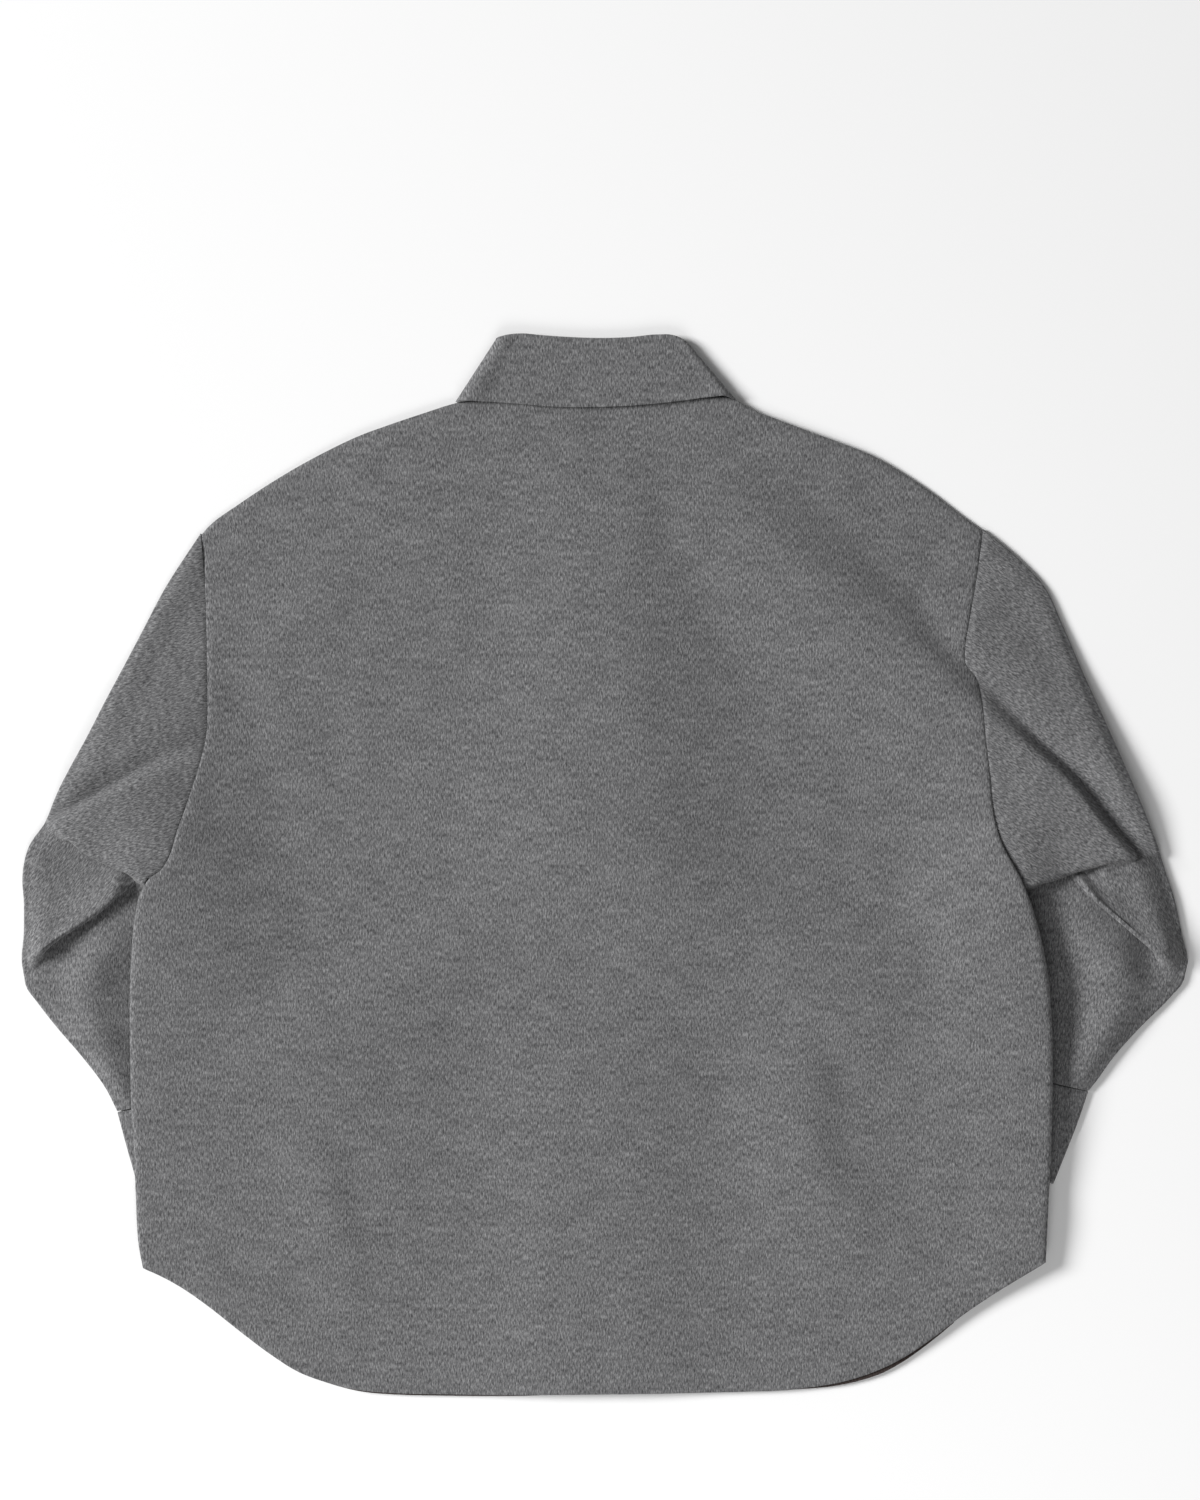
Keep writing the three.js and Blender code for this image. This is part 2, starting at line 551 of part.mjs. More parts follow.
// The neck of a front runs lower than the back's, so its top rows are pressed down to it.
function pressedToNeck([x, y], i) {
  const { count, half, gap, depth, top } = FRONT_NECK_ROWS;
  const start = BODY_ROWS.length - count;
  if (i < start || fromCentre(x) > half) return y;
  const neckY = lookUp(FRONT_NECK, fromCentre(x)) - gap;
  const startY = Math.min(neckY - depth, top);
  return Math.min(y, lerp(startY, neckY, (i - start) / (count - 1)));
}

function frontPanel(side) {
  const reaches = side < 0 ? (f) => f <= 0.5 + LAP_SHARE : (f) => f >= 0.5 - LAP_SHARE;
  const lapStep = side > 0 ? LAYER : 0;
  const columns = COLUMNS.filter(reaches);
  const grid = BODY_ROWS.map((row, i) =>
    columns.map((f) => {
      const seam = f === 0 || f === 1 ? SEAM : 0;
      const [x, y] = inset(bodyPoint(row, f), seam + underarmInset(row.up) * nearSide(f));
      const peek = PEEK.share * lookUp(HEM_PEEK, x) * (1 - smoothstep(0, PEEK.rows, row.up));
      const p = [x, Math.min(y - peek, pressedToNeck([x, y], i))];
      return [...p, frontBase(p) + sideLift(p, row.up) + lapStep * lap(p)];
    }),
  );
  return wallOn(grid, WALL);
}

// The facing on the inside of a front's hem, which shows as a thin line past the back's hem.
function hemFacing(side) {
  const fromSide = (f) => (side < 0 ? f : 1 - f);
  const columns = COLUMNS.filter((f) => fromSide(f) > FACING.from && fromSide(f) < FACING.to);
  const hem = columns.map((f) => bodyPoint(BODY_ROWS[0], f));
  const lift = (p) => [...p, frontBase(p) + WALL + PIECE_GAP];
  const lowerRow = hem.map(([x, y]) => lift([x, y - lookUp(HEM_PEEK, x)]));
  const upperRow = hem.map(([x, y]) => lift([x, y + FACING.depth]));
  return wallOn([lowerRow, upperRow], FACING_WALL);
}

// Sleeves

// Direction along the sleeve, at right angles to a line across it.
function downSleeve(path, side, r) {
  const a = along(path, Math.max(0, r - 0.05));
  const b = along(path, Math.min(1, r + 0.05));
  const length = distance(a, b);
  return [(side * (b[1] - a[1])) / length, (-side * (b[0] - a[0])) / length];
}

// One ring of the tube: the upper layer out from the underarm, the outer fold, the lower layer
// back, and the inner fold.
function sleeveRing(upper, under) {
  const [x0, y0] = upper[0];
  const [x1, y1] = upper[upper.length - 1];
  const length = Math.hypot(x1 - x0, y1 - y0);
  const fold = (a, b, out) => {
    const [x, y, z] = mix(a, b, 0.5);
    return [x + (out * (x1 - x0)) / length, y + (out * (y1 - y0)) / length, z];
  };
  const outer = fold(upper[upper.length - 1], under[0], EDGE_INSET);
  const inner = fold(upper[0], under[under.length - 1], -EDGE_INSET);
  return [...upper, outer, ...under, inner];
}

// The lower layer lies on the surface, straight between the ends of its line.
function underLine(pointAt) {
  return UNDER_LINE.map(pointAt)
    .reverse()
    .map(([x, y]) => [x, y, FLOOR_LAYER]);
}

const straightUnder = (from, to) => underLine((r) => mix(from, to, r));

const upperHeight = (p) => TOP_LAYER + elbowLift(p);

// Rings of the cap, from the armhole to the first fold. The lines near the armhole bend with it.
function capRings({ armhole, side, cap }) {
  const seamLine = [...armhole].reverse().map(([x, y]) => [x + side * SEAM, y]);
  const frontEdge = (r) => {
    const [x, y] = along(seamLine, r);
    return [x - side * underarmInset((1 + r) / 2), y];
  };
  const bend = (r) => minus(along(seamLine, r), mix(seamLine[0], seamLine[seamLine.length - 1], r));
  const lift = (p) => [...p, upperHeight(p)];
  const firstRing = sleeveRing(
    ALONG_LINE.map((r) => lift(along(seamLine, r))),
    underLine(frontEdge),
  );
  const rings = cap.map(([from, to], i) => {
    const bow = Math.max(0, CAP_BOW.first - CAP_BOW.step * i);
    const upper = ALONG_LINE.map((r) => lift(plus(mix(from, to, r), bend(r), bow)));
    return sleeveRing(upper, straightUnder(from, to));
  });
  return [firstRing, ...rings];
}

// Rings through a pleat: the cloth turns under its edge, goes back by the tuck, and comes forward
// one layer lower. Where the pleat isn't deep, the cloth only slips on to the next line.
function pleatRings({ path, side, span, depth, before, after, inner, outer }) {
  const first = path[0];
  const last = path[path.length - 1];
  return PLEAT.map(({ shift, tuck, drop }, k) => {
    const share = k / (PLEAT.length - 1);
    const from = mix(first, inner, share);
    const to = mix(last, outer, share);
    const upper = ALONG_LINE.map((r) => {
      const deep = lens(span, r);
      const base = along(path, r);
      const tucked = plus(base, downSleeve(path, side, r), deep * (shift - tuck * depth));
      const slipped = plus(tucked, mix(minus(from, first), minus(to, last), r), 1 - deep);
      const z = lerp(before(base, r), after(base, r), lerp(share, drop, deep));
      return [...slipped, z];
    });
    return sleeveRing(upper, straightUnder(from, to));
  });
}

// The panel climbs from the tuck of the first pleat to the edge of the second.
function panelHeight({ height, span, start, startSpan }, share, r) {
  const climb = smoothstep(...PANEL.climb, share);
  const rise = lerp(start * lens(startSpan, r), (height - PANEL.low) * lens(span, r), climb);
  return TOP_LAYER + PANEL.low + rise;
}

const forearmHeight = (p) => TOP_LAYER + ridgeHeights(FOREARM_RIDGES, p);

// A ring between the ends of a line, with its lower layer on the surface.
function lineRing([from, to], fractions, heightAt) {
  const upper = fractions.map((r) => mix(from, to, r)).map((p) => [...p, heightAt(p)]);
  return sleeveRing(upper, straightUnder(from, to));
}

// Rings of the panel between the two pleats, which widens from the first to the edge of the second.
function panelRings({ panelEdge, panelOuter, panelCrest }, tuckLine, innerStart) {
  return panelOuter.slice(1).map((outer, i) => {
    const share = (i + 1) / panelOuter.length;
    const inner = mix(innerStart, panelEdge[0], share);
    const upper = ALONG_LINE.map((r, j) => {
      const [x, y] = tuckLine[j];
      const straight = mix([x, y], along(panelEdge, r), share);
      const wanted = mix(inner, outer, r);
      return [...mix(straight, wanted, smoothstep(PULL_FROM, 1, r)), panelHeight(panelCrest, share, r)];
    });
    return sleeveRing(upper, straightUnder(inner, outer));
  });
}

function sleeveTube(sleeve) {
  const { side, flapEdge, flapLens, flapDepth, panelOuter, forearm } = sleeve;
  const { panelEdge, panelDepth, panelCrest } = sleeve;
  const innerStart = mix(flapEdge[0], panelEdge[0], PLEAT_END);
  const flap = pleatRings({
    path: flapEdge,
    side,
    span: flapLens,
    depth: flapDepth,
    before: upperHeight,
    after: (p, r) => panelHeight(panelCrest, 0, r),
    inner: innerStart,
    outer: panelOuter[0],
  });
  const tuckLine = flap[flap.length - 1].slice(0, ALONG_LINE.length);
  const panel = panelRings(sleeve, tuckLine, innerStart);
  const second = pleatRings({
    path: panelEdge,
    side,
    span: PANEL_LENS,
    depth: panelDepth,
    before: (p, r) => panelHeight(panelCrest, 1, r),
    after: forearmHeight,
    inner: mix(panelEdge[0], forearm[0][0], PLEAT_END),
    outer: mix(panelEdge[panelEdge.length - 1], forearm[0][1], PLEAT_END),
  });
  const lower = forearm.map((line) => lineRing(line, ALONG_LINE, forearmHeight));
  const rings = [...capRings(sleeve), ...flap, ...panel, ...second, ...lower];
  return wallAbout(facingOut(rings, side), WALL, true);
}

// The rings of the two sleeves run opposite ways round, so one of them is turned.
function facingOut(rings, side) {
  return side < 0 ? rings.map((ring) => [...ring].reverse()) : rings;
}

function cuffTube({ cuff, side }) {
  const rings = cuff.map((line) => lineRing(line, CUFF_LINE, () => TOP_LAYER));
  return wallAbout(facingOut(rings, side), WALL, true);
}

// Collar

// How many rows a row of the collar is from the nearer of the two where the collar turns.
const rowsFromTurn = (i) => Math.min(...SIDE_TURN.rows.map((row) => Math.abs(i - row)));
const inwardSign = (x) => Math.sign(CENTRE_X - x);

function collarFall() {
  const grid = COLLAR_ROWS.map(({ roll, edge, fall, stand }, i) => {
    const down = (amount) => mix(roll, edge, amount / distance(roll, edge));
    const [x, y] = down(rowsFromTurn(i) <= 1 ? SIDE_TURN.roll : ROLL_TURN);
    const inside = rowsFromTurn(i) === 0 ? inwardSign(x) * LAYER : 0;
    return [
      [x + inside, y, stand],
      [...roll, (fall + stand) / 2],
      [...down(ROLL_TURN), fall],
      ...FALL_SHARES.map((f) => [...mix(roll, edge, f), fall]),
    ];
  });
  return wallAbout(grid, WALL);
}

// The stand folds inside the fall at the two sides of the neck.
function collarStand() {
  const grid = COLLAR_ROWS.map(({ roll, neck, edge, stand }, i) => {
    const near = rowsFromTurn(i) <= 1;
    const gap = ROLL_TURN + (near ? SIDE_TURN.gap : STAND_GAP);
    const top = mix(roll, edge, gap / distance(roll, edge));
    const softer = 1 - SIDE_TURN.softer * rowsFromTurn(i);
    const inside = near ? inwardSign(roll[0]) * SIDE_TURN.inside * softer : 0;
    return [0, 0.5, 1].map((f) => {
      const [x, y] = mix(neck, top, f);
      return [x + inside, y, stand];
    });
  });
  return wallAbout(grid.reverse(), WALL);
}

// Buttons

function buttonGeometry() {
  const { radius, thickness, sides, round, rimInner, dishOuter, dish } = BUTTONS;
  const profile = [
    [0, dish], [dishOuter, dish], [rimInner, 0], [radius - round, 0],
    [radius, round], [radius, thickness], [0, thickness],
  ];
  const points = profile.map(([r, z]) => new THREE.Vector2(r, z));
  return new THREE.LatheGeometry(points, sides).rotateX(Math.PI / 2);
}

function buttons() {
  const { count, first, last } = BUTTONS;
  return Array.from({ length: count }, (_, i) => {
    const mesh = makeMesh(`button_${i + 1}`, buttonGeometry(), COLOURS.button, 0.5);
    mesh.position.set(CENTRE_X, lerp(first, last, i / (count - 1)), 0);
    return mesh;
  });
}

const shacket = new THREE.Group();
shacket.add(
  woolMesh("back_panel", backPanel()),
  woolMesh("front_left", frontPanel(-1)),
  woolMesh("front_right", frontPanel(1)),
  makeMesh("hem_facing_left", hemFacing(-1), COLOURS.facing, 0.8),
  makeMesh("hem_facing_right", hemFacing(1), COLOURS.facing, 0.8),
  woolMesh("sleeve_left", sleeveTube(SLEEVE_LEFT)),
  woolMesh("sleeve_right", sleeveTube(SLEEVE_RIGHT)),
  woolMesh("cuff_left", cuffTube(SLEEVE_LEFT)),
  woolMesh("cuff_right", cuffTube(SLEEVE_RIGHT)),
  woolMesh("collar_stand", collarStand()),
  woolMesh("collar_fall", collarFall()),
  ...buttons(),
);

// The origin is under the middle of the garment's outline.
const outline = new THREE.Box3().setFromObject(shacket);
const middle = outline.getCenter(new THREE.Vector3());
shacket.position.set(-middle.x, -middle.y, -outline.min.z);

export default shacket;
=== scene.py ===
# %% [markdown]
# # A grey wool shirt-jacket, lying flat and face down
# The garment is sewn from a plain back, two fronts, two sleeves with cuffs and a shirt collar.
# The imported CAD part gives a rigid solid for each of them. Here each one gets its cloth: a fine
# sheet that follows the same drawing, with rounded edges, soft folds and a brushed wool finish.

# %% Load the frame
import math

import bmesh
import bpy
import numpy as np
from mathutils import Matrix


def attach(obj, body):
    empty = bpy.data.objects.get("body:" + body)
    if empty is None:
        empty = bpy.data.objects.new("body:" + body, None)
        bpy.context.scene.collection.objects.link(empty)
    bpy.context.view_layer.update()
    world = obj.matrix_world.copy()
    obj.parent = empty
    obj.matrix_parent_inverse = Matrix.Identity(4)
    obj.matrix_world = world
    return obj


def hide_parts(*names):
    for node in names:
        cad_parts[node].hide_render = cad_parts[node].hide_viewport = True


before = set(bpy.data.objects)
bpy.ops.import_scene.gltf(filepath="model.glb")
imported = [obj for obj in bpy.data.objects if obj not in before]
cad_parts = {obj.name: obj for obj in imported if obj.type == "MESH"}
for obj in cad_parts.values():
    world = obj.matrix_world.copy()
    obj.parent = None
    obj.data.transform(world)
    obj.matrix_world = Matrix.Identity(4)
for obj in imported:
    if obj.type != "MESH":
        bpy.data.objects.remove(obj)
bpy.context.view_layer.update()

# %% [markdown]
# ## The drawing
# A tailor draws a garment in millimetres, and so does this file: x runs across the garment, y up to
# the collar, and z away from the table. One factor turns that into Blender's metres, and one small
# shift centres the garment, as the CAD part is centred.

# %% Units and cloth
MM = 0.001
SHIFT = np.array([0.067, 0.467, 0.0])  # mm, from the drawing's origin to the garment's middle
WALL = 1.8  # thickness of the brushed wool
LAYER = 2.2  # height that one more layer adds
FLOOR_LAYER = WALL / 2  # middle of a layer that lies on the table
TOP_LAYER = FLOOR_LAYER + LAYER
CENTRE_X = -7.0
SEAM = 0.3  # each piece stops this far from its seam

# %% The outline of the body, from the collar down
SHOULDER_LEFT = [
    (-298.4, 242.5), (-292.3, 249.4), (-270.1, 265.7), (-247.9, 280.5), (-225.7, 293.8),
    (-203.5, 305.6), (-181.3, 316.0), (-159.1, 324.1), (-134.7, 332.3), (-108.8, 340.4),
]
SHOULDER_RIGHT = [
    (96.2, 342.6), (107.3, 336.0), (129.5, 327.1), (151.7, 318.9), (173.9, 310.8),
    (196.1, 301.9), (218.3, 289.3), (240.5, 274.5), (262.7, 257.5), (279.0, 245.7),
]
BACK_NECK = [(-80, 345), (-45, 348), (-6, 349), (33, 348), (68, 345)]
FRONT_NECK = [(0, 284), (35, 304), (65, 323.5), (88, 340)]  # distance from the centre, and y
ARMHOLE_LEFT = [
    (-298.2, 242.7), (-295.3, 195.4), (-294.5, 158.4), (-293.8, 121.4), (-294.5, 95.5),
    (-298.2, 77.0), (-308.6, 42.2), (-315.2, 22.9), (-320.5, 5.0), (-326.3, -4.4),
    (-335.0, -10.6),
]
ARMHOLE_RIGHT = [
    (279.0, 245.7), (275.0, 214.0), (268.6, 177.6), (265.7, 159.1), (266.4, 147.3),
    (273.1, 139.1), (277.5, 120.6), (280.5, 93.2), (283.4, 66.6), (285.6, 40.0),
    (290.1, 20.0), (305.5, -10.6),
]
SIDE_LEFT = [
    (-335.0, -10.6), (-341.1, -20.7), (-344.8, -35.5), (-347.8, -62.2), (-349.3, -96.9),
    (-349.3, -139.9), (-348.5, -183.5), (-347.1, -205.0), (-345.6, -244.9), (-343.0, -284.0),
    (-340.4, -298.0),
]
SIDE_RIGHT = [
    (305.5, -10.6), (313.0, -30.3), (319.7, -54.0), (324.9, -80.7), (327.8, -114.7),
    (328.6, -165.0), (327.8, -215.3), (325.6, -263.4), (324.9, -281.9), (324.5, -293.5),
]
HEM = [
    (-340.4, -298.0), (-332.0, -301.5), (-314.5, -310.8), (-292.3, -326.3), (-270.1, -344.1),
    (-247.9, -361.1), (-225.7, -375.2), (-203.5, -383.3), (-181.3, -388.5), (-159.1, -390.4),
    (-114.7, -391.5), (-3.7, -390.9), (62.9, -390.2), (107.3, -389.4), (129.5, -388.5),
    (151.7, -386.3), (173.9, -382.6), (196.1, -375.9), (218.3, -365.6), (240.5, -350.8),
    (262.7, -333.7), (284.9, -318.2), (307.1, -304.1), (324.5, -293.5),
]
# How far the fronts' hem shows past the back's
HEM_PEEK = [
    (-240, 0), (-169, 1.5), (-60, 1.6), (-10, 0.4), (60, 0.4), (140, 0.8), (205, 4.2),
    (250, 2.2), (290, 0),
]
print("points of the hem:", len(HEM), "and of the armholes:", len(ARMHOLE_LEFT), len(ARMHOLE_RIGHT))

# %% [markdown]
# ## Lines and heights
# A line is a short table of points. It could be a Blender curve, but a few array functions read it
# for thousands of points at once: a smoother line through the same points, the point at a fraction
# of its length, and the nearest point on it.

# %% Small helpers
def smoothstep(start, end, value):
    """0 before start, 1 after end, and an even slope between them."""
    t = np.clip((value - start) / (end - start), 0, 1)
    return t * t * (3 - 2 * t)


def smooth_max(a, b):
    """The larger of two heights, without a crease where they cross."""
    return np.cbrt(np.maximum(a, 0) ** 3 + np.maximum(b, 0) ** 3)


def lens(span, value):
    """Nothing outside a span of four values, full between the two middle ones."""
    start, full, fade, end = span
    return smoothstep(start, full, value) * (1 - smoothstep(fade, end, value))


def smooth_through(points, steps):
    """More rows between the given ones, on curves that pass through every point."""
    rows = np.array(points, float)
    chords = np.diff(rows, axis=0)
    lengths = np.linalg.norm(chords, axis=-1, keepdims=True) + 1e-9
    ways = chords / lengths
    turns = (ways[:-1] * lengths[1:] + ways[1:] * lengths[:-1]) / (lengths[1:] + lengths[:-1])
    turns = np.concatenate([ways[:1], turns, ways[-1:]])
    found = []
    for t in np.arange(steps) / steps:
        start = (1 + 2 * t) * (1 - t) ** 2 * rows[:-1] + t * (1 - t) ** 2 * turns[:-1] * lengths
        end = t * t * (3 - 2 * t) * rows[1:] - t * t * (1 - t) * turns[1:] * lengths
        found.append(start + end)
    between = np.stack(found, axis=1).reshape(-1, *rows.shape[1:])
    return np.concatenate([between, rows[-1:]])


def lengths_along(path):
    """Length from the start of a line to each of its points."""
    steps = np.linalg.norm(np.diff(path[:, :2], axis=0), axis=1)
    return np.concatenate([[0], np.cumsum(steps)])


def along(path, fractions):
    """Points, with any further columns, at fractions of a line's length."""
    path = np.array(path, float)
    lengths = lengths_along(path)
    wanted = np.clip(fractions, 0, 1) * lengths[-1]
    columns = [np.interp(wanted, lengths, path[:, k]) for k in range(path.shape[1])]
    return np.stack(columns, axis=-1)


def look_up(table, value):
    table = np.array(table, float)
    return np.interp(value, table[:, 0], table[:, 1])


def nearest(path, x, y):
    """For each point: the distance to a line, the signed distance to its left, and its columns."""
    best = np.full(x.shape, np.inf)
    signed = np.zeros(x.shape)
    columns = np.zeros((*x.shape, path.shape[1]))
    for a, b in zip(path[:-1], path[1:]):
        run = b[:2] - a[:2]
        t = np.clip(((x - a[0]) * run[0] + (y - a[1]) * run[1]) / (run @ run + 1e-9), 0, 1)
        far = np.hypot(a[0] + t * run[0] - x, a[1] + t * run[1] - y)
        left = np.sign(run[0] * (y - a[1]) - run[1] * (x - a[0]))
        closer = far < best
        best = np.where(closer, far, best)
        signed = np.where(closer, far * left, signed)
        columns = np.where(closer[..., None], a + t[..., None] * (b - a), columns)
    return best, signed, columns


# %% [markdown]
# ## How the cloth lies
# The back lies on the fronts, on the arms that are folded under it and on the collar's points, and
# each of them lifts it a little. At the elbows the cloth stands up in a crest: steep on one side of
# a line, falling slowly on the other. Long, shallow swells give the calm middle of the back its
# uneven light.

# %% Folds
# Each ridge is a table of x, y, height, slope's width on the left of the line, and on its right.
ELBOW_RIDGES = [
    [
        (-412, 30, 3, 5, 60), (-401, 33, 8, 6, 70), (-386, 39, 12, 7, 80), (-365, 49, 14, 9, 90),
        (-348, 57, 13.5, 13, 95), (-322, 66, 10.5, 24, 95), (-290, 74, 5, 40, 90), (-255, 84, 0, 50, 80),
    ],
    [
        (-408, 52, 2, 20, 18), (-394, 62, 6, 40, 22), (-374, 73, 9, 60, 25), (-350, 84, 10, 80, 28),
        (-322, 96, 8, 80, 30), (-296, 106, 4, 70, 30), (-270, 114, 0, 60, 30),
    ],
    [
        (418, -54, 2, 40, 5), (411, -31, 7, 60, 6), (398, -9, 12, 80, 7), (385, 7, 14, 100, 8),
        (366, 28, 14.5, 115, 9), (342, 58, 14.5, 125, 11), (314, 82, 13.5, 125, 15),
        (286, 105, 12, 120, 22), (258, 128, 11.5, 110, 30), (205, 172, 10, 100, 42),
        (160, 205, 9, 90, 46), (100, 248, 5.5, 75, 50), (45, 298, 0, 60, 50),
    ],
    [
        (418, -14, 1, 12, 8), (408, 14, 5, 20, 14), (394, 42, 8, 26, 22), (368, 76, 9, 30, 35),
        (338, 106, 9, 34, 50), (306, 134, 8, 36, 60), (270, 162, 6, 40, 60), (225, 196, 0, 40, 60),
    ],
]
# Ridges along the side seams, which lift the fronts too, below the underarm
SIDE_RIDGES = [
    [
        (-322, 75, 0, 70, 70), (-336, 20, 12, 110, 65), (-339, -40, 11, 130, 50),
        (-345, -100, 8, 130, 40), (-346, -220, 2, 110, 40),
    ],
    [
        (290, 70, 0, 70, 70), (306, 15, 14, 62, 95), (312, -40, 16, 50, 115),
        (324, -110, 14, 40, 125), (327, -240, 6, 40, 110),
    ],
]
FRONT_LIFT = (0.4, 0.47)  # below these shares of the height they lift the fronts
# The forearms are a little open inside, and sink towards the second fold and the body
FOREARM_RIDGES = [
    [
        (-352, -40, 3, 35, 22), (-368, -60, 7, 35, 24), (-380, -85, 8, 32, 28), (-376, -115, 6, 28, 28),
        (-366, -142, 5, 22, 24), (-357, -168, 3, 15, 18), (-352, -185, 0, 10, 12),
    ],
    [
        (332, -32, 3, 22, 35), (354, -48, 8, 25, 40), (376, -68, 11, 28, 44), (379, -96, 9, 28, 42),
        (367, -124, 6, 24, 34), (352, -150, 4, 20, 25), (345, -168, 0, 15, 18),
    ],
]
BACK_RIDGES = [
    [
        (-170, 60, 0, 60, 60), (-100, 55, 3, 70, 80), (-54, 45, 5, 75, 90), (18, 18, 7, 80, 100),
        (78, -34, 7.5, 82, 100), (130, -62, 7.5, 80, 100), (195, -82, 6, 72, 90),
        (250, -98, 3, 60, 70), (300, -112, 0, 50, 50),
    ],
    [(-335, -132, 2, 45, 90), (-209, -110, 6, 42, 100), (-138, -86, 6, 48, 100), (-60, -20, 0, 50, 80)],
    [(143, -90, 0, 30, 60), (148, -150, 3.5, 32, 70), (152, -215, 4.5, 34, 75), (225, -290, 1, 30, 60)],
    [
        (-236, -175, 0, 26, 45), (-206, -245, 2.6, 26, 50), (-190, -300, 1.6, 24, 45),
        (-186, -380, 1.2, 20, 40),
    ],
    [(-285, 66, 0, 18, 30), (-245, 92, 2, 20, 34), (-205, 124, 0, 20, 30)],
    [(-272, 158, 0, 20, 36), (-225, 188, 2, 24, 40), (-170, 212, 0, 24, 36)],
    [
        (34, 300, 0, 50, 80), (14, 240, 2.5, 70, 90), (10, 170, 3, 90, 100), (28, 90, 4.5, 100, 110),
        (52, 30, 4, 95, 100), (80, -20, 0, 70, 70),
    ],
]
FOLD_STEPS = 6
print("ridges on the back:", len(BACK_RIDGES), "and at the elbows:", len(ELBOW_RIDGES))


def ridge_heights(ridges, x, y):
    height = np.zeros(x.shape)
    for table in ridges:
        far, signed, columns = nearest(smooth_through(table, FOLD_STEPS), x, y)
        reach = np.where(signed > 0, columns[..., 3], columns[..., 4])
        height = smooth_max(height, columns[..., 2] * (1 - smoothstep(0, 1, far / reach)))
    return height


def elbow_lift(x, y):
    """Height that the folds at the elbows give to the sleeves and to the back beside them."""
    return ridge_heights([*ELBOW_RIDGES, *SIDE_RIDGES], x, y)


def side_lift(x, y, up):
    """Height that the ridges at the sides give to the fronts."""
    return ridge_heights(SIDE_RIDGES, x, y) * (1 - smoothstep(*FRONT_LIFT, up))


# %% What lies under the back
LAP_HALF = 16
LAP_FADE = 34
PLACKET_LIFT = 2.5  # the lap of the fronts lies on its buttons
LEAF_LIFT = 2.2  # the fronts lie on the points of the collar
LEAF_FADE = 35
COLLAR_POINTS = {"y": 240, "half": 122}
NECK_FADE = (290, 330)
BACK_FADE = 95
ARM_LIFT = 4.5  # the fronts lie on the two layers of a forearm
ARM_MARGIN = 19
ARM_FADE = 30
BACK_ARM_FADE = 140
CALM_EDGE = {"across": 0.14, "up": 0.12}
FACING_WALL = 1.0
FACING_CALM = (26, 60)
ARMS_UNDER = [
    [(-350, -47), (-330, -74), (-298, -108), (-262, -144), (-240, -160), (-221, -232),
     (-338, -256), (-350, -250)],
    [(332, -47), (312, -68), (284, -96), (255, -126), (234, -142), (206, -222), (332, -250),
     (338, -232)],
]


def is_inside(outline, x, y):
    inside = np.zeros(x.shape, bool)
    for (x0, y0), (x1, y1) in zip(outline, [*outline[1:], outline[0]]):
        crosses = (y0 > y) != (y1 > y)
        inside ^= crosses & (x < x0 + (y - y0) / (y1 - y0 + 1e-9) * (x1 - x0))
    return inside


def arm_lift(x, y, fade):
    lift = np.zeros(x.shape)
    for outline in ARMS_UNDER:
        far, _, _ = nearest(np.array([*outline, outline[0]], float), x, y)
        far = np.where(is_inside(outline, x, y), 0, far)
        lift = np.maximum(lift, ARM_LIFT * (1 - smoothstep(ARM_MARGIN, ARM_MARGIN + fade, far)))
    return lift


def lap(x, fade):
    return 1 - smoothstep(LAP_HALF, LAP_HALF + fade, np.abs(x - CENTRE_X))


def below_neck(y):
    return 1 - smoothstep(*NECK_FADE, y)


def over_collar(x, y, fade):
    top, half = COLLAR_POINTS["y"], COLLAR_POINTS["half"]
    return smoothstep(top - fade, top, y) * (1 - smoothstep(half, half + 1.5 * fade, np.abs(x - CENTRE_X)))


def front_base(x, y):
    """Lower face of the fronts, before one laps over the other."""
    over_buttons = PLACKET_LIFT * lap(x, LAP_FADE) * below_neck(y)
    return np.maximum(over_buttons, LEAF_LIFT * over_collar(x, y, LEAF_FADE)) + arm_lift(x, y, ARM_FADE)


def free_share(across, up):
    """How free a point of the back is from its edges, which lie calm."""
    wide = smoothstep(0, CALM_EDGE["across"], np.minimum(across, 1 - across))
    high = smoothstep(0, CALM_EDGE["up"], np.minimum(up, 1 - up))
    return wide * high


def back_base(x, y, across, up):
    """Lower face of the back, on both fronts, the hem facing and whatever folds lift it."""
    facing = (FACING_WALL + 0.2) * (1 - smoothstep(*FACING_CALM, y - look_up(HEM, x)))
    over_lap = (PLACKET_LIFT + LAYER) * lap(x, BACK_FADE) * below_neck(y)
    fronts = smooth_max(over_lap, LEAF_LIFT * over_collar(x, y, BACK_FADE)) + arm_lift(x, y, BACK_ARM_FADE)
    free = ridge_heights(BACK_RIDGES, x, y) * free_share(across, up)
    return fronts + LAYER + smooth_max(elbow_lift(x, y), free) + facing


# %% [markdown]
# ## Brushed wool
# The cloth is a melange: grey yarn spun from dark and light fibres, woven, felted and brushed. From
# near, short flecks lie along the grain, and from afar the weft shows as faint bands across it and
# soft clouds. Noise that is stretched along or across the grain gives each of them. It reads the
# piece's own UV map, which holds the cut of the piece in metres, so the grain turns with the sleeve.

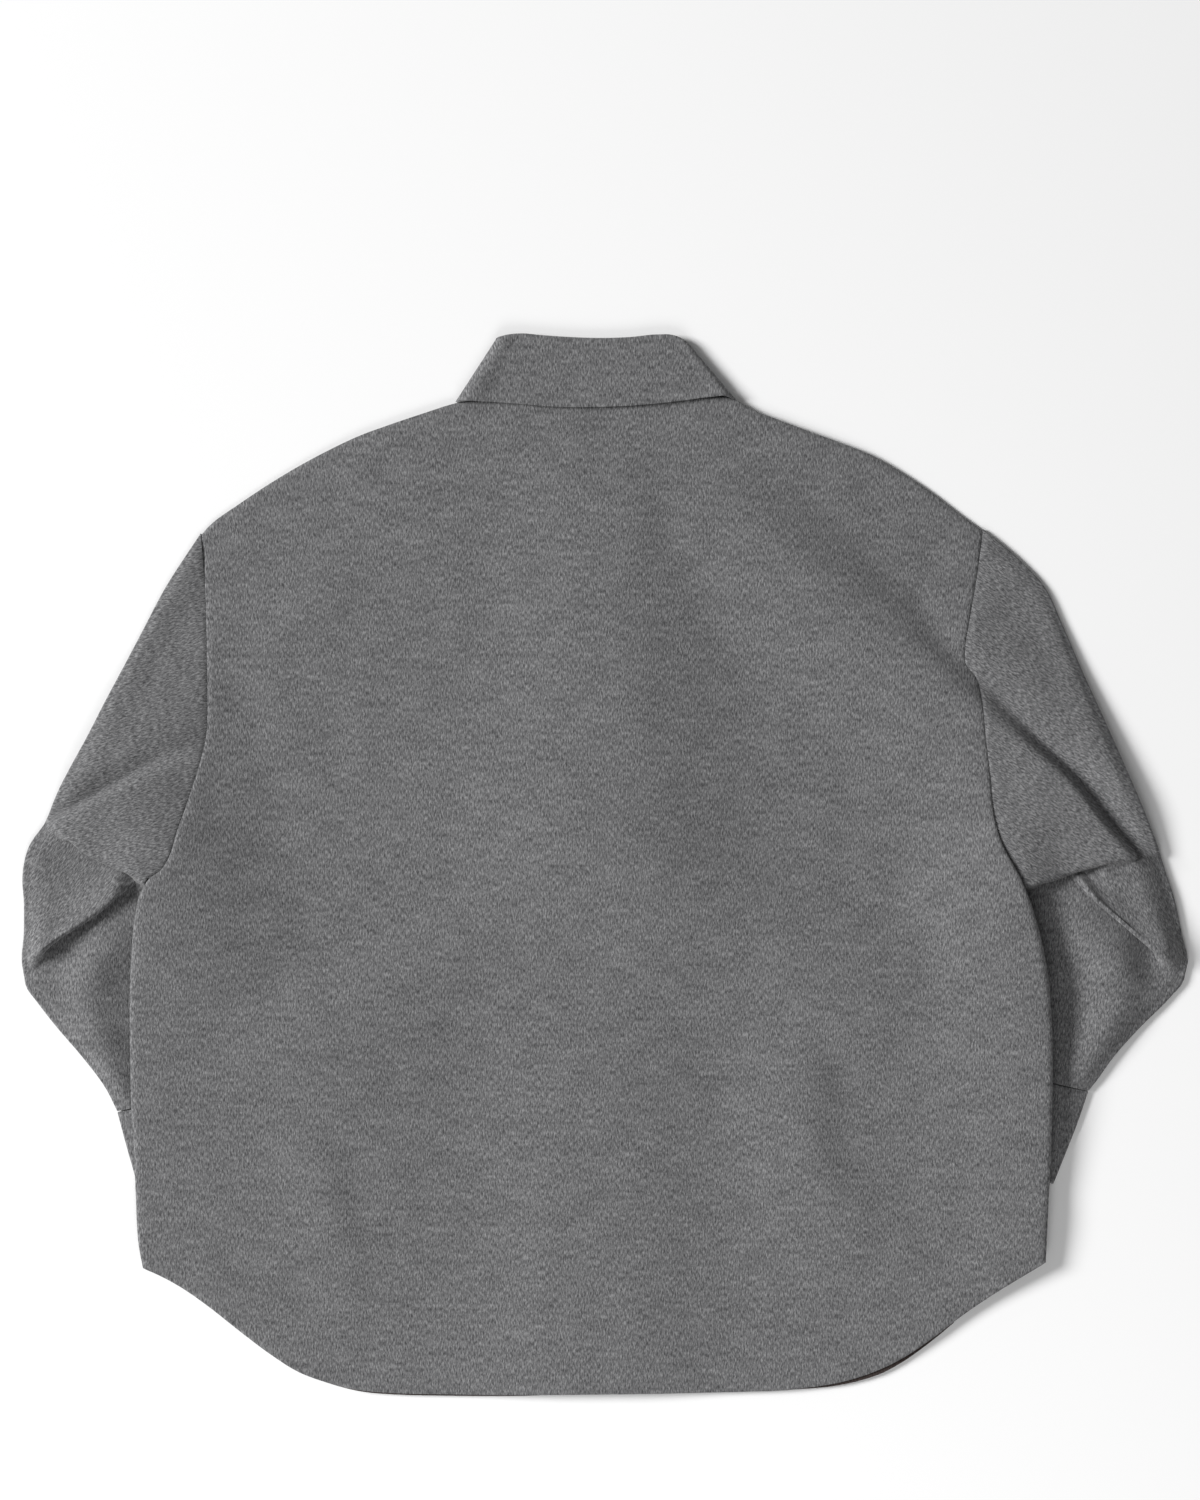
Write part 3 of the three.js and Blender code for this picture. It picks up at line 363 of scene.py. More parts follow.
# %% Wool material
FLECKS = [
    # name, flecks per metre across and along the grain, detail, how much they tell
    ("flecks", 900, 250, 3.0, 0.85),
    ("hairs", 1900, 400, 2.0, 0.75),
    ("bands", 38, 300, 2.0, 0.11),
    ("clouds", 45, 60, 2.0, 0.14),
]
FLECK_RANGE = (0.30, 0.72)  # sums of the noises at which a fibre is darkest and lightest
NAP_HEIGHT = 0.6  # mm that the brushed fibres stand up
WOOL_FINISH = {
    "Roughness": 0.95, "Specular IOR Level": 0.15, "Sheen Weight": 0.25, "Sheen Roughness": 0.5,
}


def node(tree, kind, **inputs):
    made = tree.nodes.new(kind)
    for name, value in inputs.items():
        made.inputs[name.replace("_", " ")].default_value = value
    return made


def stretched_noise(tree, where, across, along_grain, detail):
    """Noise that is drawn out along the grain."""
    place = node(tree, "ShaderNodeMapping", Scale=(across, along_grain, 1))
    noise = node(tree, "ShaderNodeTexNoise", Scale=1.0, Detail=detail, Roughness=0.6)
    tree.links.new(where, place.inputs["Vector"])
    tree.links.new(place.outputs["Vector"], noise.inputs["Vector"])
    return noise.outputs["Fac"]


def weighed_sum(tree, parts):
    """Adds up several signals, each about its middle and with its own weight."""
    total = None
    for signal, weight in parts:
        term = tree.nodes.new("ShaderNodeMath")
        term.operation = "MULTIPLY_ADD"
        term.inputs[1].default_value = weight
        tree.links.new(signal, term.inputs[0])
        if total is None:
            term.inputs[2].default_value = 0.5 - 0.5 * sum(w for _, w in parts)
        else:
            tree.links.new(total, term.inputs[2])
        total = term.outputs[0]
    return total


def new_material(name, finish):
    """A material whose even values are set straight on its shader."""
    material = bpy.data.materials.new(name)
    material.use_nodes = True
    shader = material.node_tree.nodes["Principled BSDF"]
    for socket, value in finish.items():
        shader.inputs[socket].default_value = value
    return material, material.node_tree, shader


def wool_material(name, colours):
    """Brushed cloth in three colours: of its dark, middle and light fibres."""
    material, tree, shader = new_material(name, WOOL_FINISH)
    dark, middle, light = colours
    cut = tree.nodes.new("ShaderNodeUVMap")
    cut.uv_map = "cut"
    parts = []
    for _, across, along_grain, detail, weight in FLECKS:
        parts.append((stretched_noise(tree, cut.outputs["UV"], across, along_grain, detail), weight))
    fleck_sum = weighed_sum(tree, parts)
    ramp = tree.nodes.new("ShaderNodeValToRGB")
    ramp.color_ramp.elements[0].position = FLECK_RANGE[0]
    ramp.color_ramp.elements[0].color = (*dark, 1)
    ramp.color_ramp.elements[1].position = FLECK_RANGE[1]
    ramp.color_ramp.elements[1].color = (*light, 1)
    ramp.color_ramp.elements.new(0.5).color = (*middle, 1)
    tree.links.new(fleck_sum, ramp.inputs["Fac"])
    tree.links.new(ramp.outputs["Color"], shader.inputs["Base Color"])
    bump = node(tree, "ShaderNodeBump", Strength=0.55, Distance=NAP_HEIGHT * MM)
    tree.links.new(fleck_sum, bump.inputs["Height"])
    tree.links.new(bump.outputs["Normal"], shader.inputs["Normal"])
    return material


GREY = [(0.050, 0.050, 0.052), (0.134, 0.134, 0.137), (0.280, 0.280, 0.284)]
BROWN = [(0.022, 0.015, 0.013), (0.042, 0.031, 0.028), (0.07, 0.055, 0.05)]
WOOL = wool_material("brushed_wool", GREY)
FACING_CLOTH = wool_material("facing_cloth", BROWN)
print("materials:", WOOL.name, FACING_CLOTH.name)

# %% [markdown]
# ## From a grid to a piece of cloth
# Each piece starts as a flat Blender grid. A function says where each of its points goes, and a
# second one says where that point was in the cut. A tube, such as a sleeve, is a grid whose two sides
# meet. The Solidify modifier then gives the sheet its thickness to both sides, and a small bevel
# softens the raw edge.

# %% Cloth maker
SOFT_EDGE = {"share": 0.3, "segments": 2, "angle": 60}  # share of the wall that is rounded away
WELD = 1e-7  # metres


def thicken(piece, wall):
    solid = piece.modifiers.new("thickness", "SOLIDIFY")
    solid.thickness = wall * MM
    solid.offset = 0
    soft = piece.modifiers.new("soft edge", "BEVEL")
    soft.width = SOFT_EDGE["share"] * wall * MM
    soft.segments = SOFT_EDGE["segments"]
    soft.limit_method = "ANGLE"
    soft.angle_limit = math.radians(SOFT_EDGE["angle"])


def cloth(name, points, cut, material, tube=False, wall=WALL):
    """A piece of cloth from rows of points and the same rows in the flat cut, in mm."""
    rows, columns = points.shape[:2]
    points = (points + SHIFT) * MM
    cut = cut * MM
    mesh = bmesh.new()
    bmesh.ops.create_grid(mesh, x_segments=columns - 1, y_segments=rows - 1, size=1)
    layer = mesh.loops.layers.uv.new("cut")
    places = {}
    for vertex in mesh.verts:
        j = round((vertex.co.x + 1) / 2 * (columns - 1))
        i = round((vertex.co.y + 1) / 2 * (rows - 1))
        places[vertex.index] = (i, j)
    mesh.verts.index_update()
    for face in mesh.faces:
        face.smooth = True
        for loop in face.loops:
            loop[layer].uv = cut[places[loop.vert.index]]
    for vertex in mesh.verts:
        vertex.co = points[places[vertex.index]]
    if tube:
        bmesh.ops.remove_doubles(mesh, verts=mesh.verts, dist=WELD)
    bmesh.ops.recalc_face_normals(mesh, faces=mesh.faces)
    data = bpy.data.meshes.new(name)
    mesh.to_mesh(data)
    mesh.free()
    data.materials.append(material)
    piece = bpy.data.objects.new(name, data)
    bpy.context.scene.collection.objects.link(piece)
    thicken(piece, wall)
    print(name, rows, "x", columns, "points")
    return piece


def finish_piece(piece, node_name):
    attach(piece, "root")
    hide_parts(node_name)


# %% [markdown]
# ## The body
# A back is cut flat. Its grid runs from side to side and from the hem to the shoulders, and lies
# closer at the edges, where the cloth rolls over into the seam. The lower half of the rows follows
# the side seams, the upper half the armholes.

# %% The grid of the body
LINE_STEPS = 8  # points on the smooth line for each point of its table
HEM_SPREAD = 1.3
SHOULDER_SPREAD = 1.6
smooth_side = [smooth_through(path, LINE_STEPS) for path in (SIDE_LEFT, SIDE_RIGHT)]
smooth_armhole = [smooth_through(path, LINE_STEPS) for path in (ARMHOLE_LEFT, ARMHOLE_RIGHT)]
smooth_hem = smooth_through(HEM, LINE_STEPS)
smooth_shoulders = smooth_through([*SHOULDER_LEFT, *BACK_NECK, *SHOULDER_RIGHT], LINE_STEPS)
print("armholes in mm:", [round(lengths_along(path)[-1]) for path in smooth_armhole])


def off_chord(path, across):
    """How far a line is from the straight line between its ends."""
    x = path[0, 0] + across * (path[-1, 0] - path[0, 0])
    y = path[0, 1] + across * (path[-1, 1] - path[0, 1])
    return look_up(path, x) - y


def body_plan(across, up):
    """Where a point of the body lies, by its share of the width and of the height."""
    ends = []
    for side, armhole in zip(smooth_side, smooth_armhole):
        low = along(side, 1 - 2 * up)
        high = along(armhole, 2 - 2 * up)
        ends.append(np.where((up < 0.5)[..., None], low, high))
    left, right = ends
    spot = left + across[..., None] * (right - left)
    hem = off_chord(smooth_hem, across) * (1 - up) ** HEM_SPREAD
    top = off_chord(smooth_shoulders, across) * up ** SHOULDER_SPREAD
    return spot[..., 0], spot[..., 1] + hem + top


def close_at_ends(count, size, finest=0.9, edge=7.0):
    """Shares from 0 to 1, packed closely near both ends. The size is the length in mm."""
    near = np.arange(0, edge, finest) / size
    middle = np.linspace(edge / size, 1 - edge / size, count - 2 * len(near))
    return np.concatenate([near, middle, (1 - near)[::-1]])


# %% [markdown]
# ### Rolled edges and sunken seams
# At the sides and the shoulders the back is sewn to the front, and the edge rolls over into that
# seam. At the armhole the two edges are pressed apart under the cloth, so the seam shows as a narrow
# furrow. Both are only a drop in height close to a line.

# %% Edges
ROLL = {"reach": 5.0, "drop": 1.7}
FURROW = {"reach": 4.5, "drop": 1.2}
HEM_ROLL = {"reach": 2.5, "drop": 0.5}


def rolled(edge, far):
    """Drop at a distance from an edge, along a quarter of a circle."""
    t = np.clip(1 - far / edge["reach"], 0, 1)
    return edge["drop"] * (1 - np.sqrt(1 - t * t))


def edge_drop(x, y):
    drop = np.zeros(x.shape)
    lines = [(path, ROLL) for path in smooth_side]
    lines += [(path, FURROW) for path in smooth_armhole]
    lines += [(smooth_shoulders, ROLL), (smooth_hem, HEM_ROLL)]
    for path, edge in lines:
        far, _, _ = nearest(path, x, y)
        drop = np.maximum(drop, rolled(edge, far))
    return drop


# %% The back
BODY_COLUMNS = 150
BODY_ROWS = 168
BODY_WIDTH = 660.0
BODY_LENGTH = 700.0


def body_shares(columns):
    up = close_at_ends(BODY_ROWS, BODY_LENGTH)
    return np.meshgrid(columns, up)


def seam_inset(x, across, amount):
    """Moves the outermost points in from the seam line."""
    return x + np.where(across <= 0, amount, 0) - np.where(across >= 1, amount, 0)


across, up = body_shares(close_at_ends(BODY_COLUMNS, BODY_WIDTH))
plan_x, plan_y = body_plan(across, up)
height = back_base(plan_x, plan_y, across, up) + WALL / 2 - edge_drop(plan_x, plan_y)
x = seam_inset(plan_x, across, np.where(up >= 0.5, SEAM, 0))
back = cloth("back", np.stack([x, plan_y, height], -1), np.stack([plan_x, plan_y], -1), WOOL)
finish_piece(back, "back_panel")

# %% [markdown]
# ### The fronts
# The two fronts lie under the back and can't be seen, but a shirt-jacket needs them: they lap at the
# centre, carry the buttons, and end in a neck that is cut lower than the back's. They are drawn on
# the same grid, so they meet the back all round.

# %% The fronts
LAP_SHARE = 0.024
PEEK = {"rows": 0.035, "share": 0.85}
NECK_ROWS = [(0.695, 0), (0.75, 1 / 6), (0.805, 2 / 6), (0.86, 3 / 6), (0.91, 4 / 6), (0.96, 5 / 6), (1, 1)]
FRONT_NECK_DEPTH = {"gap": 1.5, "depth": 40, "top": 215, "half": 100}
UNDERARM = {"inset": 7.5, "reach": 0.045, "span": (0.38, 0.47, 0.52, 0.6)}
FRONT_COLUMNS = 76
SIDE_TUCK = 1.6  # the front stops this far inside the back's rolled edge


def pressed_to_neck(x, y, up):
    """The neck of a front runs lower than the back's, so its top rows are pressed down to it."""
    off = np.abs(x - CENTRE_X)
    neck = look_up(FRONT_NECK, off) - FRONT_NECK_DEPTH["gap"]
    start = np.minimum(neck - FRONT_NECK_DEPTH["depth"], FRONT_NECK_DEPTH["top"])
    limit = start + (neck - start) * look_up(NECK_ROWS, up)
    pressed = (up >= NECK_ROWS[0][0]) & (off <= FRONT_NECK_DEPTH["half"])
    return np.where(pressed, np.minimum(y, limit), y)


def front(name, node_name, side):
    reach = 0.5 + LAP_SHARE
    shares = close_at_ends(FRONT_COLUMNS, BODY_WIDTH * reach) * reach
    across, up = body_shares(shares if side < 0 else 1 - shares[::-1])
    plan_x, plan_y = body_plan(across, up)
    inset = SEAM + SIDE_TUCK + UNDERARM["inset"] * lens(UNDERARM["span"], up)
    near_side = np.clip(1 - np.minimum(across, 1 - across) / UNDERARM["reach"], 0, 1)
    x = plan_x - side * inset * near_side
    peek = PEEK["share"] * look_up(HEM_PEEK, x) * (1 - smoothstep(0, PEEK["rows"], up))
    y = np.minimum(plan_y - peek, pressed_to_neck(x, plan_y, up))
    step = LAYER * lap(x, LAP_FADE) if side > 0 else 0
    height = front_base(x, y) + side_lift(x, y, up) + step + WALL / 2
    piece = cloth(name, np.stack([x, y, height], -1), np.stack([plan_x, plan_y], -1), WOOL)
    finish_piece(piece, node_name)
    return piece


front("front_of_left_side", "front_left", -1)
front("front_of_right_side", "front_right", 1)

# %% [markdown]
# ### The facing of the hem
# A thin, dark brown facing is sewn inside the fronts' hem. Where the back rides up, it shows as a
# narrow dark line past the back's hem.

# %% Hem facings
FACING = {"from": 0.1, "to": 0.44, "depth": 20.0, "gap": 0.3}


def hem_facing(name, node_name, side):
    ends = sorted([0.5 + side * (0.5 - FACING["from"]), 0.5 + side * (0.5 - FACING["to"])])
    across, share = np.meshgrid(np.linspace(*ends, 60), np.linspace(0, 1, 8))
    x, hem_y = body_plan(across, np.zeros(across.shape))
    y = hem_y + share * FACING["depth"] - (1 - share) * look_up(HEM_PEEK, x)
    height = front_base(x, y) + WALL + FACING["gap"] + FACING_WALL / 2
    piece = cloth(name, np.stack([x, y, height], -1), np.stack([x, y], -1), FACING_CLOTH, wall=FACING_WALL)
    finish_piece(piece, node_name)


hem_facing("facing_of_left_hem", "hem_facing_left", -1)
hem_facing("facing_of_right_hem", "hem_facing_right", 1)

# %% [markdown]
# ## The sleeves
# A sleeve is a tube that lies flat: an upper layer, a rounded fold, a lower layer and another fold.
# It is folded under at the elbow, which throws up two pleats. Each is a line across the sleeve where
# the cloth turns under itself, runs back, and comes forward again one layer lower. The tube is drawn
# as rings, each from a line across the sleeve, and the folds are rings that lie very close together.

# %% The lines of the sleeves
SLEEVE_LEFT = {
    "side": -1,
    "armhole": smooth_armhole[0],
    "cap": [
        ((-336.3, -9.2), (-325.6, 200.5)), ((-336.8, -9.8), (-340.5, 172.0)),
        ((-337.3, -10.4), (-354.5, 145.0)), ((-337.7, -11.0), (-368.5, 118.0)),
        ((-338.1, -11.5), (-381.8, 91.5)), ((-338.5, -12.0), (-393.5, 70.0)),
        ((-338.9, -12.5), (-403.3, 51.1)),
    ],
    "flap_edge": [(-339.3, -13.0), (-352.2, -5.0), (-378.1, 7.0), (-410.5, 33.0)],
    "panel_edge": [
        (-338.5, -20.0), (-346.5, -12.0), (-352.2, -16.0), (-375.9, -35.5), (-404.0, -54.0),
        (-429.0, -74.0),
    ],
    "panel_outer": [
        (-413.0, 28.0), (-424.0, 12.0), (-428.5, -8.1), (-427.4, -30.0), (-427.7, -52.5),
        (-429.2, -70.0),
    ],
    "forearm": [
        ((-338.0, -31), (-426.5, -88.5)), ((-338.5, -46), (-418.0, -101.0)),
        ((-330.0, -72), (-404.0, -119.0)), ((-298.0, -106), (-384.8, -141.3)),
        ((-262.0, -142), (-366.5, -166.0)), ((-240.0, -158), (-358.6, -182.0)),
    ],
    "cuff": [
        ((-240.0, -158.6), (-358.4, -183.0)), ((-234.0, -182.0), (-352.2, -206.5)),
        ((-228.0, -206.0), (-345.4, -230.5)), ((-222.0, -230.0), (-339.5, -254.0)),
    ],
    "flap_depth": 15,
    "panel_depth": 13,
    "flap_span": (0.1, 0.3, 0.62, 0.8),
    "panel_crest": {"height": 12, "span": (0.06, 0.3, 0.82, 1), "start": 0, "start_span": (0, 0.2, 0.8, 1)},
    "grain": (75, 32, 0),
}
SLEEVE_RIGHT = {
    "side": 1,
    "armhole": smooth_armhole[1],
    "cap": [
        ((307.3, -9.2), (305.0, 224.0)), ((307.2, -10.4), (325.0, 202.0)),
        ((307.6, -11.2), (337.0, 176.0)), ((308.0, -12.0), (352.0, 140.5)),
        ((308.3, -12.8), (367.0, 107.0)), ((308.6, -13.6), (381.5, 73.5)),
        ((308.9, -14.4), (396.0, 39.5)),
    ],
    "flap_edge": [(309.2, -15.2), (328.6, -10.4), (344.8, -4.4), (376.7, 3.7), (407.5, 10.0)],
    "panel_edge": [
        (308.8, -22.0), (322.0, -10.0), (344.8, -9.0), (361.9, -25.2), (381.8, -42.2),
        (401.8, -59.2), (416.5, -70.0), (429.0, -72.0),
    ],
    "panel_outer": [
        (409.0, 5.0), (413.0, -8.0), (418.1, -22.9), (421.8, -37.7), (424.8, -52.5),
        (428.6, -68.0),
    ],
    "forearm": [
        ((308.5, -32), (426.0, -85.0)), ((312.0, -47), (417.0, -96.5)),
        ((307.0, -68), (394.5, -119.0)), ((284.0, -96), (374.4, -141.3)),
        ((256.0, -126), (361.0, -160.0)), ((236.0, -141), (355.5, -167.0)),
    ],
    "cuff": [
        ((235.7, -141.7), (355.2, -167.7)), ((227.5, -164.3), (347.5, -190.5)),
        ((219.0, -187.0), (338.5, -213.5)), ((210.8, -209.8), (329.5, -236.0)),
    ],
    "flap_depth": 15,
    "panel_depth": 13,
    "flap_span": (0.08, 0.22, 0.5, 0.66),
    "panel_crest": {
        "height": 13, "span": (0.24, 0.45, 0.86, 1), "start": 7, "start_span": (0.45, 0.62, 0.8, 1),
    },
    "grain": (-58, -20, 5),
}
PANEL_SPAN = (0.08, 0.26, 0.66, 0.9)
PANEL = {"low": 0.8, "climb": (0.25, 1)}  # the panel climbs to its crest over this share of it
PULL_FROM = 0.3
PLEAT_END = 0.6
CAP_BOW = {"first": 0.62, "step": 0.2}
# A pleat from its edge to the next panel. Columns: shift along the sleeve, share of tuck, share of drop.
PLEAT = [(0, 0, 0), (1.4, 0, 0.25), (0.6, 0.12, 0.48), (0.4, 1, 0.5), (-0.6, 1.06, 0.75), (1.2, 0.95, 1)]

# %% One ring of the tube
LINE = close_at_ends(64, 110.0, finest=1.2, edge=7.0)  # fractions across the upper layer
UNDER_COUNT = 26
FOLD_RADIUS = 1.3
FOLD_ANGLES = np.radians([30, 60, 90, 120, 150])
EDGE_PUFF = {"height": 1.7, "rise": 9.0, "end": 40.0}  # the fold at the edge stays a little open


def turn_over(start, end, way):
    """Points round a fold, from the end of one layer to the start of the other."""
    middle = (start + end) / 2
    out = np.array([*way, 0]) * FOLD_RADIUS
    return [middle + math.cos(a) * (start - middle) + math.sin(a) * out for a in FOLD_ANGLES]


def ring(upper, under_plan):
    under = np.column_stack([under_plan, np.full(len(under_plan), FLOOR_LAYER)])[::-1]
    way = upper[-1, :2] - upper[0, :2]
    way = way / np.linalg.norm(way)
    outer = turn_over(upper[-1], under[0], way)
    inner = turn_over(under[-1], upper[0], -way)
    return np.concatenate([upper, outer, under, inner, upper[:1]])


def straight(line, fractions):
    start, end = np.array(line, float)[..., :2]
    return start + np.asarray(fractions)[:, None] * (end - start)


def under_line(line):
    return straight(line, np.linspace(0, 1, UNDER_COUNT))


def puff(plan):
    """Extra height near the outer fold of the sleeve."""
    far = np.linalg.norm(plan - plan[-1], axis=1)
    rise, end = EDGE_PUFF["rise"], EDGE_PUFF["end"]
    return EDGE_PUFF["height"] * smoothstep(0, rise, far) * (1 - smoothstep(rise, end, far))


def upper_height(plan):
    return TOP_LAYER + elbow_lift(plan[:, 0], plan[:, 1])


def panel_height(crest, share):
    """The panel climbs from the tuck of the first pleat to the edge of the second."""
    climb = smoothstep(*PANEL["climb"], share)
    start = crest["start"] * lens(crest["start_span"], LINE)
    end = (crest["height"] - PANEL["low"]) * lens(crest["span"], LINE)
    return TOP_LAYER + PANEL["low"] + start + climb * (end - start)


def forearm_height(plan):
    return TOP_LAYER + ridge_heights(FOREARM_RIDGES, plan[:, 0], plan[:, 1])


# %% [markdown]
# ### The cap and its folds
# The cap is the part from the armhole to the first fold. Its first lines bend with the armhole and
# the later ones run straight, and smooth curves between them give the rings in between.

# %% Rings of the cap
CAP_STEPS = 7


def cap_rings(sleeve):
    side = sleeve["side"]
    seam = sleeve["armhole"][::-1] + np.array([side * SEAM, 0])
    at_seam = along(seam, LINE)
    bend = at_seam - straight((seam[0], seam[-1]), LINE)
    plans = [at_seam]
    front_shares = np.linspace(0, 1, UNDER_COUNT)
    front_edge = along(seam, front_shares)
    front_edge[:, 0] -= side * UNDERARM["inset"] * lens(UNDERARM["span"], (1 + front_shares) / 2)
    unders = [front_edge]
    for i, line in enumerate(sleeve["cap"]):
        bow = max(0, CAP_BOW["first"] - CAP_BOW["step"] * i)
        plans.append(straight(line, LINE) + bow * bend)
        unders.append(under_line(line))
    plans.append(along(smooth_through(sleeve["flap_edge"], LINE_STEPS), LINE))
    unders.append(under_line((sleeve["flap_edge"][0], sleeve["flap_edge"][-1])))
    plans = smooth_through(plans, CAP_STEPS)[:-1]
    unders = smooth_through(unders, CAP_STEPS)[:-1]
    rings = []
    for plan, under in zip(plans, unders):
        furrow, _, _ = nearest(sleeve["armhole"], plan[:, 0], plan[:, 1])
        height = upper_height(plan) + puff(plan) - rolled(FURROW, furrow)
        rings.append(ring(np.column_stack([plan, height]), under))
    return rings


# %% Rings of a pleat
PLEAT_STEPS = 4
TUCK_ROW = 3  # row of the table at which the cloth is deep inside


def down_sleeve(path, side, fractions):
    """Direction along the sleeve, at right angles to a line across it."""
    run = along(path, np.minimum(1, fractions + 0.05)) - along(path, np.maximum(0, fractions - 0.05))
    run = run / np.linalg.norm(run, axis=1, keepdims=True)
    return np.column_stack([side * run[:, 1], -side * run[:, 0]])


def pleat_rings(path, side, span, depth, before, after, inner, outer):
    """Rings through a pleat. The heights before and after it come from the plan."""
    first, last = np.array(path[0], float), np.array(path[-1], float)
    path = smooth_through(path, LINE_STEPS)
    base = along(path, LINE)
    down = down_sleeve(path, side, LINE)
    deep = lens(span, LINE)[:, None]
    rings = []
    for k, (shift, tuck, drop) in enumerate(smooth_through(PLEAT, PLEAT_STEPS)):
        share = k / (len(PLEAT) - 1) / PLEAT_STEPS
        start = first + share * (np.array(inner) - first)
        end = last + share * (np.array(outer) - last)
        slip = (start - first) + LINE[:, None] * ((end - last) - (start - first))
        plan = base + down * deep * (shift - tuck * depth) + slip * (1 - deep)
        lower = share + (drop - share) * deep[:, 0]
        height = before(base) + (after(plan) - before(base)) * lower
        rings.append(ring(np.column_stack([plan, height + puff(plan)]), under_line((start, end))))
    return rings


# %% [markdown]
# ### The whole sleeve
# The panel between the two pleats starts in the tuck of the first and ends at the edge of the
# second. Below it comes the forearm, which runs on under the body to the cuff.

# %% Rings of the panel and the forearm
FOREARM_STEPS = 5


def panel_rings(sleeve, tuck_line, inner_start):
    outer_line = sleeve["panel_outer"]
    edge = along(smooth_through(sleeve["panel_edge"], LINE_STEPS), LINE)
    pull = smoothstep(PULL_FROM, 1, LINE)[:, None]
    rings = []
    for i, outer in enumerate(outer_line[1:]):
        share = (i + 1) / len(outer_line)
        inner = np.array(inner_start) + share * (np.array(sleeve["panel_edge"][0]) - inner_start)
        direct = tuck_line + share * (edge - tuck_line)
        plan = direct + pull * (straight((inner, outer), LINE) - direct)
        height = panel_height(sleeve["panel_crest"], share) + puff(plan)
        rings.append(ring(np.column_stack([plan, height]), under_line((inner, outer))))
    return rings


def line_ring(line, height_at):
    plan = straight(line, LINE)
    return ring(np.column_stack([plan, height_at(plan) + puff(plan)]), under_line(line))


def pleat_end(here, there):
    return np.array(here, float) + PLEAT_END * (np.array(there, float) - here)


def sleeve_rings(sleeve):
    flap_edge, panel_edge, forearm = sleeve["flap_edge"], sleeve["panel_edge"], sleeve["forearm"]
    crest = sleeve["panel_crest"]
    inner_start = pleat_end(flap_edge[0], panel_edge[0])
    first = pleat_rings(
        flap_edge, sleeve["side"], sleeve["flap_span"], sleeve["flap_depth"],
        upper_height, lambda plan: panel_height(crest, 0), inner_start, sleeve["panel_outer"][0],
    )
    tuck_line = first[-1][: len(LINE), :2]
    panel = panel_rings(sleeve, tuck_line, inner_start)
    second = pleat_rings(
        panel_edge, sleeve["side"], PANEL_SPAN, sleeve["panel_depth"],
        lambda plan: panel_height(crest, 1), forearm_height,
        pleat_end(panel_edge[0], forearm[0][0]), pleat_end(panel_edge[-1], forearm[0][1]),
    )
    middle = smooth_through([first[-1], *panel, second[0]], FOREARM_STEPS)[1:-1]
    lower = [line_ring(line, forearm_height) for line in forearm]
    lower = smooth_through([second[-1], *lower], FOREARM_STEPS)[1:]
    cap = cap_rings(sleeve)
    in_tuck = TUCK_ROW * PLEAT_STEPS
    turns = (len(cap) + in_tuck, len(cap) + len(first) + len(middle) + in_tuck)
    return np.stack([*cap, *first, *middle, *second, *lower]), turns


# %% Make the sleeves
def turned(plan, degrees):
    """Turns a plan so that the grain runs up and down."""
    angle = math.radians(degrees)
    cos, sin = math.cos(angle), math.sin(angle)
    x, y = plan[..., 0], plan[..., 1]
    return np.stack([x * cos - y * sin, x * sin + y * cos], -1)


def sleeve_cut(rings, turns, lines):
    """The cut of a sleeve: its plan, turned about the outer end of each fold, inside its tuck."""
    first, second = np.array(lines["flap_edge"][-1], float), np.array(lines["panel_edge"][-1], float)
    cap, panel, forearm = lines["grain"]
    plan = rings[..., :2]
    to_second = turned(second - first, panel)
    parts = [
        turned(plan[: turns[0]] - first, cap),
        turned(plan[turns[0] : turns[1]] - first, panel),
        turned(plan[turns[1] :] - second, forearm) + to_second,
    ]
    return np.concatenate(parts)


def sleeve(name, node_name, lines, area):
    rings, turns = sleeve_rings(lines)
    piece = cloth(name, rings, sleeve_cut(rings, turns, lines), WOOL, tube=True)
    finish_piece(piece, node_name)
    return piece


sleeve("sleeve_of_left_arm", "sleeve_left", SLEEVE_LEFT, area=0.080)
sleeve("sleeve_of_right_arm", "sleeve_right", SLEEVE_RIGHT, area=0.088)

# %% [markdown]
# ### The cuffs
# Each cuff is a short, closed band of two layers, tucked under the side of the body.

# %% Cuffs
CUFF_STEPS = 6


def cuff(name, node_name, lines):
    rings = [line_ring(line, lambda plan: TOP_LAYER) for line in lines["cuff"]]
    rings = smooth_through(rings, CUFF_STEPS)
    piece = cloth(name, rings, turned(rings[..., :2], lines["grain"][2]), WOOL, tube=True)
    finish_piece(piece, node_name)


cuff("cuff_of_left_arm", "cuff_left", SLEEVE_LEFT)
cuff("cuff_of_right_arm", "cuff_right", SLEEVE_RIGHT)

# %% [markdown]
# ## The collar
# A shirt collar has two parts. The stand goes up round the neck, and the fall turns over it and
# hides it. On the table the collar is pressed flat, so its front half lies under the garment and its
# back half shows. Both parts are drawn as rows round the neck, from the roll line to the outer edge.

